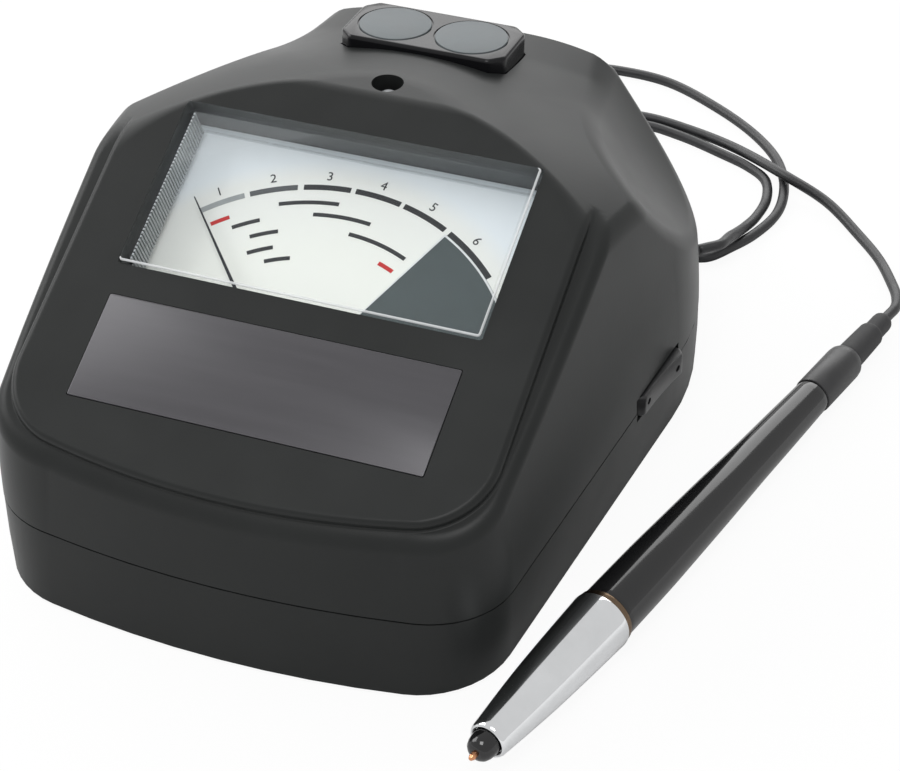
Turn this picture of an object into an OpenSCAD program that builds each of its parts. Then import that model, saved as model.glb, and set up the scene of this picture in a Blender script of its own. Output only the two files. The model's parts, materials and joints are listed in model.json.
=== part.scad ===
/* [Case] */
// Width of the case across its round rear
case_w = 113.2; // [110:0.4:117.2]
// Length of the case from front to back
case_l = 152; // [146:1:158]
// Height of the line where the upper case meets the base
parting_z = 16; // [15:0.5:18]
// Wall of the upper case and of the base
wall = 2.4; // [2:0.1:2.8]
// Radius of the bowed front wall in plan
front_r = 200; // [180:5:260]
// Radius of the two front corners in plan
corner_r = 17.5; // [16.5:0.5:18.5]
// Distance of each front corner's centre from the side of the case
corner_in = 25.6; // [25:0.2:26.6]
// Backward lean of the front wall, per unit of height
front_lean = 0.14; // [0.13:0.005:0.15]
// Inward lean of the side walls at the table, per unit of height; below zero they bulge at first
side_lean = -0.083; // [-0.09:0.001:-0.075]
// Growth of the side walls' lean, per unit of height
side_curve = 0.0026; // [0.0024:0.0001:0.0028]
// Inward lean of the rear wall, per unit of height
rear_lean = 0.28; // [0.26:0.01:0.3]

/* [Top] */
// Height of the flat that holds the lamp, which is the top of the case
top_z = 66.9; // [66.5:0.1:67.2]
// Radius of the dome behind the panel
dome_r = 111.5; // [110:0.5:114]
// Height that the dome would reach without the flat
dome_top = 69.4; // [69.2:0.1:69.8]
// Distance from the window's centre back to the dome's centre
dome_back = 7.7; // [7:0.1:8.4]
// Radius of the rounded back
hump_r = 61.7; // [60:0.1:64]
// Height of the back where the roll to the rear starts
hump_top = 61.8; // [61.6:0.1:62]
// Fall of the back towards the rear, in degrees
hump_fall = 7.3; // [6.8:0.1:7.8]
// Radius of the roll from the back down to the rear
roll_r = 15.6; // [15:0.1:17]
// Distance of the roll's centre from the rear of the case
roll_in = 36.5; // [36:0.1:37]
// Angle at which the roll runs into the straight rear slope
roll_angle = 55; // [50:1:60]
// Radius of the scooped finger hollow on each side
scoop_r = 112.3; // [111.5:0.1:112.8]
// Distance of each hollow's centre outside the side of the case
scoop_out = 64.2; // [63.8:0.1:65]
// Distance of the hollows' centres from the rear of the case
scoop_in = 5.1; // [4.6:0.1:5.6]
// Height of the hollows' centres
scoop_z = 115; // [114.5:0.1:115.5]

/* [Panel] */
// Slope of the panel, in degrees
panel_slope = 22.9; // [22:0.1:24]
// Distance from the front of the case back to the window's centre
panel_in = 59.3; // [58.8:0.1:59.8]
// Height of the window's centre
panel_z = 56.5; // [56:0.1:57]
// Width of the raised panel
panel_w = 91.8; // [90:0.2:93]
// Distance from the window's centre down to the panel's front edge
panel_front = 58.2; // [57.5:0.1:59]
// Radius of the panel's front edge
panel_bow = 168; // [150:2:190]
// Radius of the panel's front corners
panel_corner = 15; // [13:0.5:16]
// Radius of the panel's rear corners
panel_rear_corner = 6; // [5:0.5:7]
// Distance from the window's centre up to where the ledge ends
ledge_end = 17.6; // [17:0.1:18.5]
// Drop from the panel to the ledge around it
ledge_drop = 2; // [1.6:0.1:2.4]

/* [Window and dial] */
// Width of the window opening
window_w = 69.6; // [68:0.2:71]
// Height of the window opening, along the slope
window_h = 35.7; // [34.5:0.1:36.5]
// Thickness of the clear window
window_t = 1.5; // [1.2:0.1:2]
// Height of the window's face above the panel
window_proud = 0.8; // [0.5:0.1:1]
// Depth of the dial's face below the panel
dial_depth = 8.4; // [8:0.1:9]
// Thickness of the dial plate
dial_t = 1; // [0.8:0.1:1.2]
// Distance from the window's centre down to the pointer's axis
pivot_down = 31.4; // [31:0.1:32]
// Radius of the scale's main arc
scale_r = 42.1; // [41:0.1:43]
// Reach of the pointer from its axis
pointer_r = 43.4; // [42.5:0.1:44]
// Rest angle of the pointer, left of straight up
pointer_rest = 41.3; // [40:0.1:42]
// Width of the bare nameplate
nameplate_w = 67.5; // [66:0.5:69]
// Height of the bare nameplate, along the slope
nameplate_h = 21.3; // [20:0.1:21.8]
// Distance from the window's centre down to the nameplate's centre
nameplate_down = 34.9; // [34.6:0.1:35.4]

/* [Movement] */
// Outer radius of the ring magnet
yoke_r = 15; // [14.5:0.1:15.4]
// Inner radius of the ring magnet
yoke_bore_r = 10.8; // [10.6:0.1:11]
// Radius of the iron core
core_r = 7.5; // [7:0.1:7.7]
// Height of the iron core
core_h = 10; // [9:0.5:10.5]
// Radius of the pointer's staff
staff_r = 0.5; // [0.4:0.05:0.6]
// Radial clearance of every turning shaft in its hole
run_gap = 0.05; // [0.03:0.01:0.08]

/* [Disc holder and lamp] */
// Width of the reference disc holder
holder_w = 33.5; // [32.5:0.5:35]
// Depth of the holder from front to back
holder_d = 16.4; // [16:0.1:17]
// Distance from the rear of the case to the holder's centre
holder_in = 40.4; // [39.8:0.1:41]
// Height of the middle of the holder's face
holder_z = 64.4; // [64.2:0.1:64.8]
// Backward tilt of the holder's face, in degrees
holder_tilt = 6.6; // [6:0.1:7]
// Height of the holder block, most of it sunk into the case
holder_t = 6.2; // [6:0.1:6.6]
// Radius of each reference disc
disc_r = 7; // [6.8:0.1:7.2]
// Distance between the two discs' centres
disc_pitch = 15.6; // [15.4:0.1:16]
// Thickness of the reference discs
disc_t = 1.4; // [1.2:0.1:1.8]
// Radius of the lamp's hole
lamp_hole_r = 3.2; // [3:0.1:3.4]
// Distance from the panel's rear edge back to the lamp's hole
lamp_back = 4.4; // [4.3:0.1:4.7]
// Radius of the lamp's body
lamp_r = 2.5; // [2.3:0.1:2.6]

/* [Switch] */
// Distance from the rear of the case to the switch
switch_in = 71.6; // [70:0.2:73]
// Length of the switch's slot
slot_l = 18.5; // [18:0.1:19.5]
// Height of the switch's slot
slot_h = 5; // [4.8:0.1:5.4]
// Height of the slot's centre
switch_z = 16.4; // [16:0.1:17]
// Radius of the rocker's pin
rocker_pin_r = 0.8; // [0.7:0.05:1]
// Full travel of the rocker, in degrees
rocker_travel = 8; // [6:1:8]

/* [Base] */
// Thickness of the base's floor
floor_t = 2.4; // [2.2:0.1:2.6]
// Height of the floor's underside above the rim that the case stands on
floor_lift = 0.8; // [0.6:0.1:1]
// Radius of the rubber feet
foot_r = 6; // [5:0.5:6.5]
// Diameter of one battery cell
cell_d = 14.5; // [14.2:0.1:14.5]
// Length of one battery cell with its button
cell_l = 50.5; // [49.5:0.5:50.5]
// Distance between neighbouring cells' axes
cell_pitch = 15.2; // [15:0.1:15.6]
// Distance from the rear of the case to the middle of the battery bay
bay_in = 54; // [54:0.5:55]
// Length of the circuit board
board_l = 50; // [46:1:50]
// Width of the circuit board
board_w = 70; // [66:1:74]
// Thickness of the circuit board
board_t = 1.6; // [1.2:0.1:2]

/* [Pen] */
// Length of the pen from its nose to the end of the cord's sleeve
pen_l = 144.5; // [141:0.5:147]
// Radius of the metal ferrule at its thick end
ferrule_r = 5.9; // [5.6:0.1:6.2]
// Length of the black nose
nose_l = 3.8; // [3.4:0.1:4.4]
// Radius of the metal ferrule behind the nose
ferrule_front_r = 3.7; // [3.5:0.1:4]
// Distance from the nose to the joint ring
joint_s = 39; // [37:0.5:41]
// Length of the satin collar
collar_l = 14; // [12:0.5:16]
// Length of the cord's sleeve
sleeve_l = 15.5; // [14:0.5:17]
// Radius of the probe's rod
probe_r = 0.6; // [0.5:0.05:0.7]
// Reach of the probe's rod beyond the nose
probe_out = 1.4; // [1.3:0.1:2]
// Travel of the sprung probe
probe_travel = 1.2; // [0.8:0.1:1.2]

/* [Cord] */
// Diameter of the probe's cord
cord_d = 2.2; // [2:0.1:2.4]
// Radius of the stored coil at the middle of its turns
coil_r = 13; // [12:0.5:14]

/* [Hidden] */
$fn = 64;

// Clearances
slip = 0.15;
seat_gap = 0.1;
far = 300;

// Plan outline of the case, as arcs [centre x, centre y, radius, angle] that meet tangent
panel_y = panel_in - case_l / 2;
corner_x = case_w / 2 - corner_in;
front_cy = -case_l / 2 + front_r;
corner_cy = front_cy - sqrt(pow(front_r - corner_r, 2) - pow(corner_x, 2));
rear_r = case_w / 2;
rear_cy = case_l / 2 - rear_r;
side_run = [-corner_x, rear_cy - corner_cy];
side_a = atan2(side_run.y, side_run.x) - acos((corner_r - rear_r) / norm(side_run));
front_a = asin(corner_x / (front_r - corner_r));
corner_sweep = side_a + 90 - front_a;
front_steps = 8;
corner_steps = 9;
rear_steps = 36;
plan = concat(
  [for (i = [0 : front_steps - 1]) [0, front_cy, front_r, -90 - front_a + 2 * front_a * i / front_steps]],
  [for (i = [0 : corner_steps])
    [corner_x, corner_cy, corner_r, -90 + front_a + corner_sweep * i / corner_steps]],
  [for (i = [0 : rear_steps]) [0, rear_cy, rear_r, side_a + (180 - 2 * side_a) * i / rear_steps]],
  [for (i = [0 : corner_steps - 1])
    [-corner_x, corner_cy, corner_r, 180 - side_a + corner_sweep * i / corner_steps]]
);

// How far the wall with its outward normal at angle a has moved inwards at height z
function side_in(z) = (side_lean + side_curve * z) * z;
function end_in(a, z) = (sin(a) < 0 ? front_lean : rear_lean) * z;
function wall_in(a, z) = side_in(z) + (end_in(a, z) - side_in(z)) * pow(sin(a), 2);

// Points of the outline at height z, moved inwards by inset
function plan_ring(z, inset) = [
  for (p = plan)
    let (r = p[2] - inset - wall_in(p[3], z))
    [p[0] + r * cos(p[3]), p[1] + r * sin(p[3]), z]
];

// Solid through rings of equal length, closed by its first and last ring
module loft(rings) {
  k = len(rings[0]);
  last = len(rings) - 1;
  points = [for (ring = rings) for (p = ring) p];
  sides = [
    for (j = [0 : last - 1]) for (i = [0 : k - 1])
      let (n = (i + 1) % k)
      each [[j * k + i, (j + 1) * k + i, (j + 1) * k + n], [j * k + i, (j + 1) * k + n, j * k + n]]
  ];
  caps = [[for (i = [0 : k - 1]) i], [for (i = [k - 1 : -1 : 0]) last * k + i]];
  polyhedron(points = points, faces = concat(sides, caps), convexity = 4);
}

// Body inside the curved walls, from z0 to z1
module wall_form(inset, z0, z1) {
  heights = concat([z0], [for (z = [12 : 12 : 60]) if (z > z0 + 2 && z < z1 - 2) z], [z1]);
  loft([for (z = heights) plan_ring(z, inset)]);
}

// Points of an arc from angle a0 to a1
function arc(c, r, a0, a1, steps) = [
  for (i = [0 : steps]) let (a = a0 + (a1 - a0) * i / steps) [c.x + r * cos(a), c.y + r * sin(a)]
];

// Sector of a ring, measured clockwise from straight up
function band(r0, r1, a0, a1, steps) = concat(
  [for (i = [0 : steps]) let (a = 90 - a0 - (a1 - a0) * i / steps) [r1 * cos(a), r1 * sin(a)]],
  [for (i = [steps : -1 : 0]) let (a = 90 - a0 - (a1 - a0) * i / steps) [r0 * cos(a), r0 * sin(a)]]
);

// Frame of the panel: x to the right, y up the slope, z out of the face, from the window's centre
module on_panel() {
  translate([0, panel_y, panel_z]) rotate([panel_slope, 0, 0]) children();
}

// Frame of the movement: the panel's frame moved to the pointer's axis
module on_pivot() {
  on_panel() translate([0, -pivot_down, 0]) children();
}

// Frame of the holder's face
module on_holder() {
  translate([0, holder_y, holder_z]) rotate([-holder_tilt, 0, 0]) children();
}

// Frame at height z on the rear arc: x points out of the wall at angle a
module on_rear_arc(a, z) {
  translate([0, rear_cy, z]) rotate([0, 0, a]) children();
}

// Both halves of something that is mirrored across the case
module both_sides() {
  children();
  mirror([1, 0, 0]) children();
}

// Outline of the raised panel, moved inwards by inset
panel_cy = -panel_front + panel_bow;
panel_corner_x = panel_w / 2 - panel_corner;
panel_corner_y = panel_cy - sqrt(pow(panel_bow - panel_corner, 2) - pow(panel_corner_x, 2));
panel_a = asin(panel_corner_x / (panel_bow - panel_corner));
function panel_half(inset) = concat(
  arc([0, panel_cy], panel_bow - inset, -90, -90 + panel_a, 5),
  arc([panel_corner_x, panel_corner_y], panel_corner - inset, -90 + panel_a + 8, 0, 8),
  arc([panel_w / 2 - panel_rear_corner, ledge_end - panel_rear_corner], panel_rear_corner - inset, 0, 90, 6)
);
function panel_outline(inset) =
  let (half = panel_half(inset), k = len(half))
  concat(
    half,
    [[half[k - 1].x, ledge_end + 2], [-half[k - 1].x, ledge_end + 2]],
    [for (i = [k - 1 : -1 : 1]) [-half[i].x, half[i].y]]
  );

module below_panel(g) {
  on_panel() translate([-far / 2, -far / 2, -far - g]) cube([far, far, far]);
}

module ledge_cut(g) {
  on_panel() translate([0, 0, -ledge_drop - g]) linear_extrude(height = 30) difference() {
    translate([-far / 2, -far / 2]) square([far, far / 2 + ledge_end]);
    polygon(panel_outline(g));
  }
}

// Places along the case
dome_y = panel_y + dome_back;
scoop_y = case_l / 2 - scoop_in;
holder_y = case_l / 2 - holder_in;
lamp_y = panel_y + (top_z - panel_z) / tan(panel_slope) + lamp_back;
switch_y = case_l / 2 - switch_in;
bay_y = case_l / 2 - bay_in;

// Rounded back: a cylinder along the case whose top line falls to the rear
module hump(g) {
  translate([0, roll_cy, hump_top]) rotate([-hump_fall, 0, 0]) translate([0, 0, -hump_r])
    rotate([90, 0, 0]) cylinder(r = hump_r - g, h = 2 * case_l, center = true, $fn = 128);
}

// Side view of the rear: a roll that ends in a straight slope
roll_cy = case_l / 2 - roll_in;
roll_cz = hump_top - roll_r;
function rear_profile(g) =
  let (
    r = roll_r - g,
    foot = [roll_cy + r * sin(roll_angle), roll_cz + r * cos(roll_angle)]
  )
  concat(
    [[-case_l, -1], [-case_l, 100], [roll_cy, 100]],
    arc([roll_cy, roll_cz], r, 90, 90 - roll_angle, 10),
    [[foot.x + (foot.y + 1) / tan(roll_angle), -1]]
  );

module rear_form(g) {
  rotate([90, 0, 90]) linear_extrude(height = 2 * case_w, center = true) polygon(rear_profile(g));
}

// Everything under the top surfaces, moved inwards by g
module top_form(g) {
  difference() {
    intersection() {
      union() {
        translate([0, dome_y, dome_top - dome_r]) sphere(r = dome_r - g, $fn = 160);
        hump(g);
      }
      below_panel(g);
      rear_form(g);
      translate([-far / 2, -far / 2, top_z - g - far]) cube([far, far, far]);
    }
    ledge_cut(g);
    both_sides() translate([case_w / 2 + scoop_out, scoop_y, scoop_z]) sphere(r = scoop_r + g, $fn = 160);
  }
}

// Case screws: [x, y] of the front and rear pairs
boss_r = 4;
screw_r = 1.45;
screw_hole_r = 1.5;
screw_head_r = 2.8;
screw_head_seat = floor_lift + 4.2;
screw_l = 20;
front_boss = [corner_x + 5.5, corner_cy - 1];
rear_boss = [30, rear_cy + 32];
module at_bosses() {
  both_sides() {
    translate(front_boss) children();
    translate(rear_boss) children();
  }
}

// Switch: angle of the wall's normal and radius of the wall at the slot
switch_a = asin((switch_y - rear_cy) / rear_r);
switch_wall_r = rear_r - wall_in(switch_a, switch_z);
rocker_r = switch_wall_r - 4.3;
module on_switch() {
  on_rear_arc(switch_a, switch_z) children();
}
module switch_slot() {
  on_switch() translate([switch_wall_r - wall - 3, -slot_l / 2, -slot_h / 2])
    cube([wall + 8, slot_l, slot_h]);
}

// Power jack in the rear wall
jack_a = 112;
jack_z = 9;
jack_collar_r = 4;
jack_body = [12, 9, 10];
jack_wall_r = rear_r - wall_in(jack_a, jack_z);
jack_bore_r = 2.85;
jack_depth = 9;

// Strain relief in the rear wall
relief_a = 40;
relief_z = 7;
relief_r = 2.6;
relief_out = 6;
relief_wall_r = rear_r - wall_in(relief_a, relief_z);

// Lamp tube under the flat
lamp_tube_r = lamp_hole_r + 1.5;
lamp_step_z = top_z - 5;
lamp_foot_z = top_z - 9.5;
lamp_flange_t = 1;

// Holder pocket and the pad of the case under it
holder_corner = 2.6;
pad_t = 1.8;
pad_margin = 1.8;
disc_proud = 0.15;

module holder_outline(grow) {
  w = holder_w / 2 + grow;
  d = holder_d / 2 + grow;
  c = holder_corner;
  polygon([
    [-w + c, -d], [w - c, -d], [w, -d + c], [w, d - c],
    [w - c, d], [-w + c, d], [-w, d - c], [-w, -d + c]
  ]);
}

// Meter housing, in the panel's frame
house_w = window_w + 6.4;
house_back = window_h / 2 + 2.2;
house_front = window_h / 2 + 2.6;
house_wall = 1.6;
house_floor = dial_depth + dial_t;
well_half = yoke_r + 3;
well_floor = 25.4;
ear_l = 6;
ear_w = 8;
ear_top = 6;
ear_t = 2;
ear_y = 10;
post_r = 3;
meter_screw_r = 1.2;
meter_screw_hole_r = 1.25;
module at_ears() {
  for (s = [-1, 1]) for (t = [-1, 1]) translate([s * (house_w / 2 + ear_l / 2), t * ear_y, 0]) children();
}

module upper_case() {
  color("#3a3b3c") difference() {
    union() {
      difference() {
        intersection() {
          wall_form(0, parting_z, 75);
          top_form(0);
        }
        intersection() {
          wall_form(wall, parting_z - 1, 76);
          top_form(wall);
        }
      }
      intersection() {
        at_bosses() translate([0, 0, parting_z]) cylinder(r = boss_r, h = 60);
        top_form(wall / 2);
      }
      on_panel() at_ears() translate([0, 0, -ear_top]) cylinder(r = post_r, h = ear_top - wall / 2);
      on_holder() translate([0, 0, -holder_t - pad_t]) linear_extrude(height = pad_t + 0.4)
        holder_outline(pad_margin);
      translate([0, lamp_y, lamp_foot_z]) cylinder(r = lamp_tube_r, h = top_z - lamp_foot_z - wall / 2);
    }
    on_panel() translate([-window_w / 2, -window_h / 2, -wall - 2])
      cube([window_w, window_h, wall + 4]);
    on_panel() translate([-nameplate_w / 2, -nameplate_down - nameplate_h / 2, -nameplate_seat])
      cube([nameplate_w, nameplate_h, 4]);
    on_panel() at_ears() translate([0, 0, -ear_top - 1])
      cylinder(r = meter_screw_hole_r, h = ear_top - wall);
    on_holder() translate([0, 0, -holder_t]) linear_extrude(height = 20) holder_outline(slip);
    translate([0, lamp_y, lamp_step_z]) cylinder(r = lamp_hole_r, h = 20);
    translate([0, lamp_y, lamp_foot_z - 1]) cylinder(r = lamp_r + run_gap, h = 20);
    at_bosses() translate([0, 0, parting_z - 1]) cylinder(r = screw_hole_r, h = screw_l - 9);
    switch_slot();
  }
}

// Base
lip_t = 1.2;
lip_h = 2;
rim_w = 3;
rim_chamfer = 0.8;
inner_floor_z = floor_lift + floor_t;
bay_w = cell_l + 7;
bay_d = 2 * cell_pitch + cell_d + 1;
bay_wall = 1.6;
bay_top = inner_floor_z + cell_d + 0.4;
door_gap = 0.25;
door_t = 2;
door_step = 2.5;
door_w = bay_w + 2 * door_step;
door_d = bay_d + 2 * door_step;
door_z = floor_lift + 0.1;
board_post_r = 3;
board_post_h = 4;
board_z = bay_top + bay_wall + board_post_h;
board_hole_x = board_w / 2 - 4;
board_hole_y = board_l / 2 - 5;
board_screw_r = 1.2;
board_screw_hole_r = 1.25;
board_screw_in = board_post_h - 0.4;
foot_t = 2;
front_foot = [corner_x - 14, corner_cy - 1];
rear_foot = [34, rear_cy + 33];
module at_board_holes() {
  for (s = [-1, 1]) for (t = [-1, 1]) translate([s * board_hole_x, bay_y + t * board_hole_y, 0]) children();
}
module at_feet() {
  both_sides() {
    translate(front_foot) children();
    translate([rear_foot.x - 12, rear_foot.y + 4]) children();
  }
}

module base_cover() {
  color("#303132") difference() {
    union() {
      difference() {
        union() {
          loft([
            plan_ring(0, rim_chamfer), plan_ring(rim_chamfer, 0), plan_ring(parting_z / 2, 0),
            plan_ring(parting_z, 0)
          ]);
          wall_form(wall + seat_gap, parting_z - 1, parting_z + lip_h);
        }
        wall_form(wall, inner_floor_z, parting_z - lip_h);
        wall_form(wall + lip_t, parting_z - lip_h - 1, parting_z + lip_h + 1);
        wall_form(rim_w, -1, floor_lift);
      }
      at_bosses() translate([0, 0, floor_lift]) cylinder(r = boss_r, h = parting_z - floor_lift);
      translate([-bay_w / 2 - bay_wall, bay_y - bay_d / 2 - bay_wall, floor_lift])
        cube([bay_w + 2 * bay_wall, bay_d + 2 * bay_wall, bay_top + bay_wall - floor_lift]);
      at_board_holes() translate([0, 0, bay_top]) cylinder(r = board_post_r, h = bay_wall + board_post_h);
      on_rear_arc(switch_a, inner_floor_z - 0.5) translate([rocker_r - 9, -6, 0])
        cube([6, 12, switch_z - switch_body_h / 2 - inner_floor_z + 0.5]);
      on_rear_arc(jack_a, inner_floor_z - 0.5)
        translate([jack_wall_r - 1 - jack_body.x, -jack_body.y / 2, 0])
        cube([jack_body.x - 2, jack_body.y, jack_z - jack_body.z / 2 - inner_floor_z + 0.5]);
    }
    at_bosses() translate([0, 0, -1]) cylinder(r = screw_head_r + 0.3, h = 1 + screw_head_seat);
    at_bosses() cylinder(r = screw_hole_r, h = parting_z + 5);
    translate([-bay_w / 2, bay_y - bay_d / 2, -1]) cube([bay_w, bay_d, bay_top + 1]);
    translate([-door_w / 2 - door_gap, bay_y - door_d / 2 - door_gap, -1])
      cube([door_w + 2 * door_gap, door_d + 2 * door_gap, door_z + door_t + 1]);
    at_feet() translate([0, 0, -1]) cylinder(r = foot_r + slip, h = 1 + foot_t);
    at_board_holes() translate([0, 0, bay_top + bay_wall]) cylinder(r = board_screw_hole_r, h = 10);
    switch_slot();
    on_switch() translate([rocker_r - 1, -slot_l / 2 - 0.5, -slot_h / 2 - 1])
      cube([switch_wall_r - wall - rocker_r + 1, slot_l + 1, 8]);
    on_rear_arc(jack_a, jack_z) translate([jack_wall_r - 6, 0, 0]) rotate([0, 90, 0])
      cylinder(r = jack_collar_r + seat_gap, h = 20);
    on_rear_arc(relief_a, relief_z) translate([relief_wall_r - 6, 0, 0]) rotate([0, 90, 0])
      cylinder(r = relief_r, h = 20);
  }
}

// Nameplate, left bare
nameplate_seat = 0.4;
nameplate_t = 0.5;
module nameplate() {
  color("#4a444c") on_panel()
    translate([-nameplate_w / 2 + slip, -nameplate_down - nameplate_h / 2 + slip, -nameplate_seat])
      cube([nameplate_w - 2 * slip, nameplate_h - 2 * slip, nameplate_t]);
}

// Clear window: a plate with a skirt that stands on the dial, cut away where the pointer passes
skirt_t = 1.2;
module meter_window() {
  w = window_w - 2 * slip;
  h = window_h - 2 * slip;
  color("#d8e0e4", 0.35) on_panel() difference() {
    translate([-w / 2, -h / 2, -dial_depth]) cube([w, h, dial_depth + window_proud]);
    translate([-w / 2 + skirt_t, -h / 2 + skirt_t, -dial_depth - 1])
      cube([w - 2 * skirt_t, h - 2 * skirt_t, dial_depth + 1 + window_proud - window_t]);
    translate([-w / 2 + skirt_t, -h / 2 - 1, -dial_depth - 1])
      cube([w - 2 * skirt_t, 3, dial_depth - 3.2]);
  }
}

// Black housing under the panel: a wide tray for the dial and a deep well for the movement
module meter_housing() {
  color("#232426") intersection() {
    top_form(wall + seat_gap);
    on_panel() housing_block();
  }
}
module housing_block() {
  difference() {
    union() {
      translate([-house_w / 2, -house_front, -house_floor - house_wall])
        cube([house_w, house_front + house_back, house_floor + house_wall - wall]);
      translate([-well_half, -pivot_down - well_half, -well_floor - house_wall])
        cube([2 * well_half, 2 * well_half, well_floor + house_wall - wall]);
      for (t = [-1, 1]) translate([-house_w / 2 - ear_l, t * ear_y - ear_w / 2, -ear_top - ear_t])
        cube([house_w + 2 * ear_l, ear_w, ear_t]);
    }
    translate([-house_w / 2 + house_wall, -house_front + house_wall, -house_floor])
      cube([house_w - 2 * house_wall, house_front + house_back - 2 * house_wall, house_floor]);
    translate([-well_half + house_wall, -pivot_down - well_half + house_wall, -well_floor])
      cube([2 * (well_half - house_wall), 2 * (well_half - house_wall), well_floor]);
    at_ears() translate([0, 0, -ear_top - ear_t - 1]) cylinder(r = meter_screw_r + 0.2, h = ear_t + 2);
    translate([0, -pivot_down, -well_floor - 1]) cylinder(r = bearing_r, h = 2);
  }
}

// Dial plate with a tongue that reaches down towards the movement
dial_edge = 0.2;
tongue_l = 5.3;
module dial_plate() {
  color("#eceee8") on_panel() translate([0, 0, -dial_depth - dial_t]) linear_extrude(height = dial_t) union() {
    translate([-house_w / 2 + house_wall + dial_edge, -house_front + house_wall + dial_edge])
      square([house_w - 2 * (house_wall + dial_edge), house_front + house_back - 2 * (house_wall + dial_edge)]);
    translate([-well_half + house_wall + dial_edge, -house_front - tongue_l + house_wall + dial_edge])
      square([2 * (well_half - house_wall - dial_edge), tongue_l + 2]);
  }
}

// Printed scale: main arc, minor bars and the dark end sector, [from, to] clockwise in degrees
arc_spans = [[-41.2, -29.6], [-28.2, -15.9], [-14.3, -2], [-0.7, 11.8], [12.9, 25.9], [27.5, 44.4]];
bar_spans = [
  [38.4, -40.3, -34.8], [36, -35, -26.5], [32.9, -30.4, -21.1], [29.6, -32.5, -23],
  [26.9, -26.8, -16.5], [38.8, -20.8, -3.9], [36.2, -10.6, 7.2], [33.1, 2.3, 23.5], [29.8, 17.1, 23.4]
];
arc_w = 1.1;
bar_w = 0.8;
ink_t = 0.1;
sector_from = 27.3;
sector_to = 46;
sector_r = 17;
module dial_scale() {
  color("#2c3338") on_panel() translate([0, 0, -dial_depth]) linear_extrude(height = ink_t) {
    translate([0, -pivot_down]) {
      for (s = arc_spans) polygon(band(scale_r - arc_w / 2, scale_r + arc_w / 2, s[0], s[1], 6));
      for (b = bar_spans) polygon(band(b[0] - bar_w / 2, b[0] + bar_w / 2, b[1], b[2], 4));
    }
    intersection() {
      translate([0, -pivot_down]) polygon(band(sector_r, scale_r - arc_w, sector_from, sector_to, 6));
      translate([-window_w / 2 + skirt_t + 0.5, -window_h / 2 + skirt_t + 0.5])
        square([window_w - 2 * skirt_t - 1, window_h]);
    }
  }
}

// Pointer: a tapered needle with a hub and a balanced tail, lying at its rest angle
needle_low = 5.8;
needle_t = 0.5;
needle_w = 1;
hub_r = 2;
hub_t = 1.4;
tail_l = 9;
weight_r = 1.6;
module at_rest_angle() {
  rotate([0, 0, pointer_rest]) children();
}
module pointer() {
  color("#26282a") on_pivot() at_rest_angle() difference() {
    union() {
      translate([0, 0, -needle_low]) linear_extrude(height = needle_t) polygon([
        [-needle_w / 2, 0], [-needle_w / 8, pointer_r], [needle_w / 8, pointer_r], [needle_w / 2, 0],
        [needle_w, -tail_l], [-needle_w, -tail_l]
      ]);
      translate([0, 0, -needle_low - hub_t / 2]) cylinder(r = hub_r, h = hub_t + needle_t);
      translate([0, -tail_l, -needle_low - hub_t / 2]) cylinder(r = weight_r, h = hub_t);
    }
    translate([0, 0, -needle_low - 2]) cylinder(r = staff_r, h = 5);
  }
}

// Staff that carries the pointer and the moving coil
staff_top = needle_low - needle_t - 0.4;
bearing_r = 2;
bearing_t = 1.4;
module pointer_staff() {
  color("#b9bcbe") on_pivot() translate([0, 0, -well_floor + bearing_floor])
    cylinder(r = staff_r, h = well_floor - bearing_floor - staff_top);
}

// Jewel bearing set in the floor of the well
bearing_floor = -0.4;
bearing_lip = 0.4;
module lower_bearing() {
  color("#a8763e") on_pivot() difference() {
    translate([0, 0, -well_floor - 1]) cylinder(r = bearing_r, h = 1 + bearing_lip);
    translate([0, 0, -well_floor + bearing_floor]) cylinder(r = staff_r + run_gap, h = 3);
  }
}

// Moving coil: a flat frame that turns in the gap between core and magnet
core_top = 13;
coil_gap = 0.5;
coil_out = yoke_bore_r - 0.8;
coil_in = core_r + 0.7;
coil_w = 3;
coil_t = 1;
module moving_coil() {
  color("#9c5a34") on_pivot() at_rest_angle() difference() {
    translate([-coil_out, -coil_w / 2, -core_top - core_h - coil_gap - coil_t])
      cube([2 * coil_out, coil_w, core_h + 2 * (coil_gap + coil_t)]);
    translate([-coil_in, -coil_w, -core_top - core_h - coil_gap])
      cube([2 * coil_in, 2 * coil_w, core_h + 2 * coil_gap]);
    translate([0, 0, -well_floor]) cylinder(r = staff_r, h = well_floor);
  }
}

// Ring magnet that stands on the floor of the well
module magnet_yoke() {
  color("#5d6164") on_pivot() translate([0, 0, -well_floor]) difference() {
    cylinder(r = yoke_r, h = well_floor - core_top);
    translate([0, 0, -1]) cylinder(r = yoke_bore_r, h = well_floor);
  }
}

// Iron core, held by a bar that crosses to the magnet where the coil never turns
bar_half = 2;
bar_t = 4;
module magnet_core() {
  color("#7c8083") on_pivot() difference() {
    union() {
      translate([0, 0, -core_top - core_h]) cylinder(r = core_r, h = core_h);
      translate([0, 0, -core_top - core_h / 2 - bar_t / 2]) intersection() {
        cylinder(r = yoke_bore_r, h = bar_t);
        translate([-bar_half, -yoke_r, 0]) cube([2 * bar_half, 2 * yoke_r, bar_t]);
      }
    }
    translate([0, 0, -core_top - core_h - 1]) cylinder(r = staff_r + 0.7, h = core_h + 2);
  }
}

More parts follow.
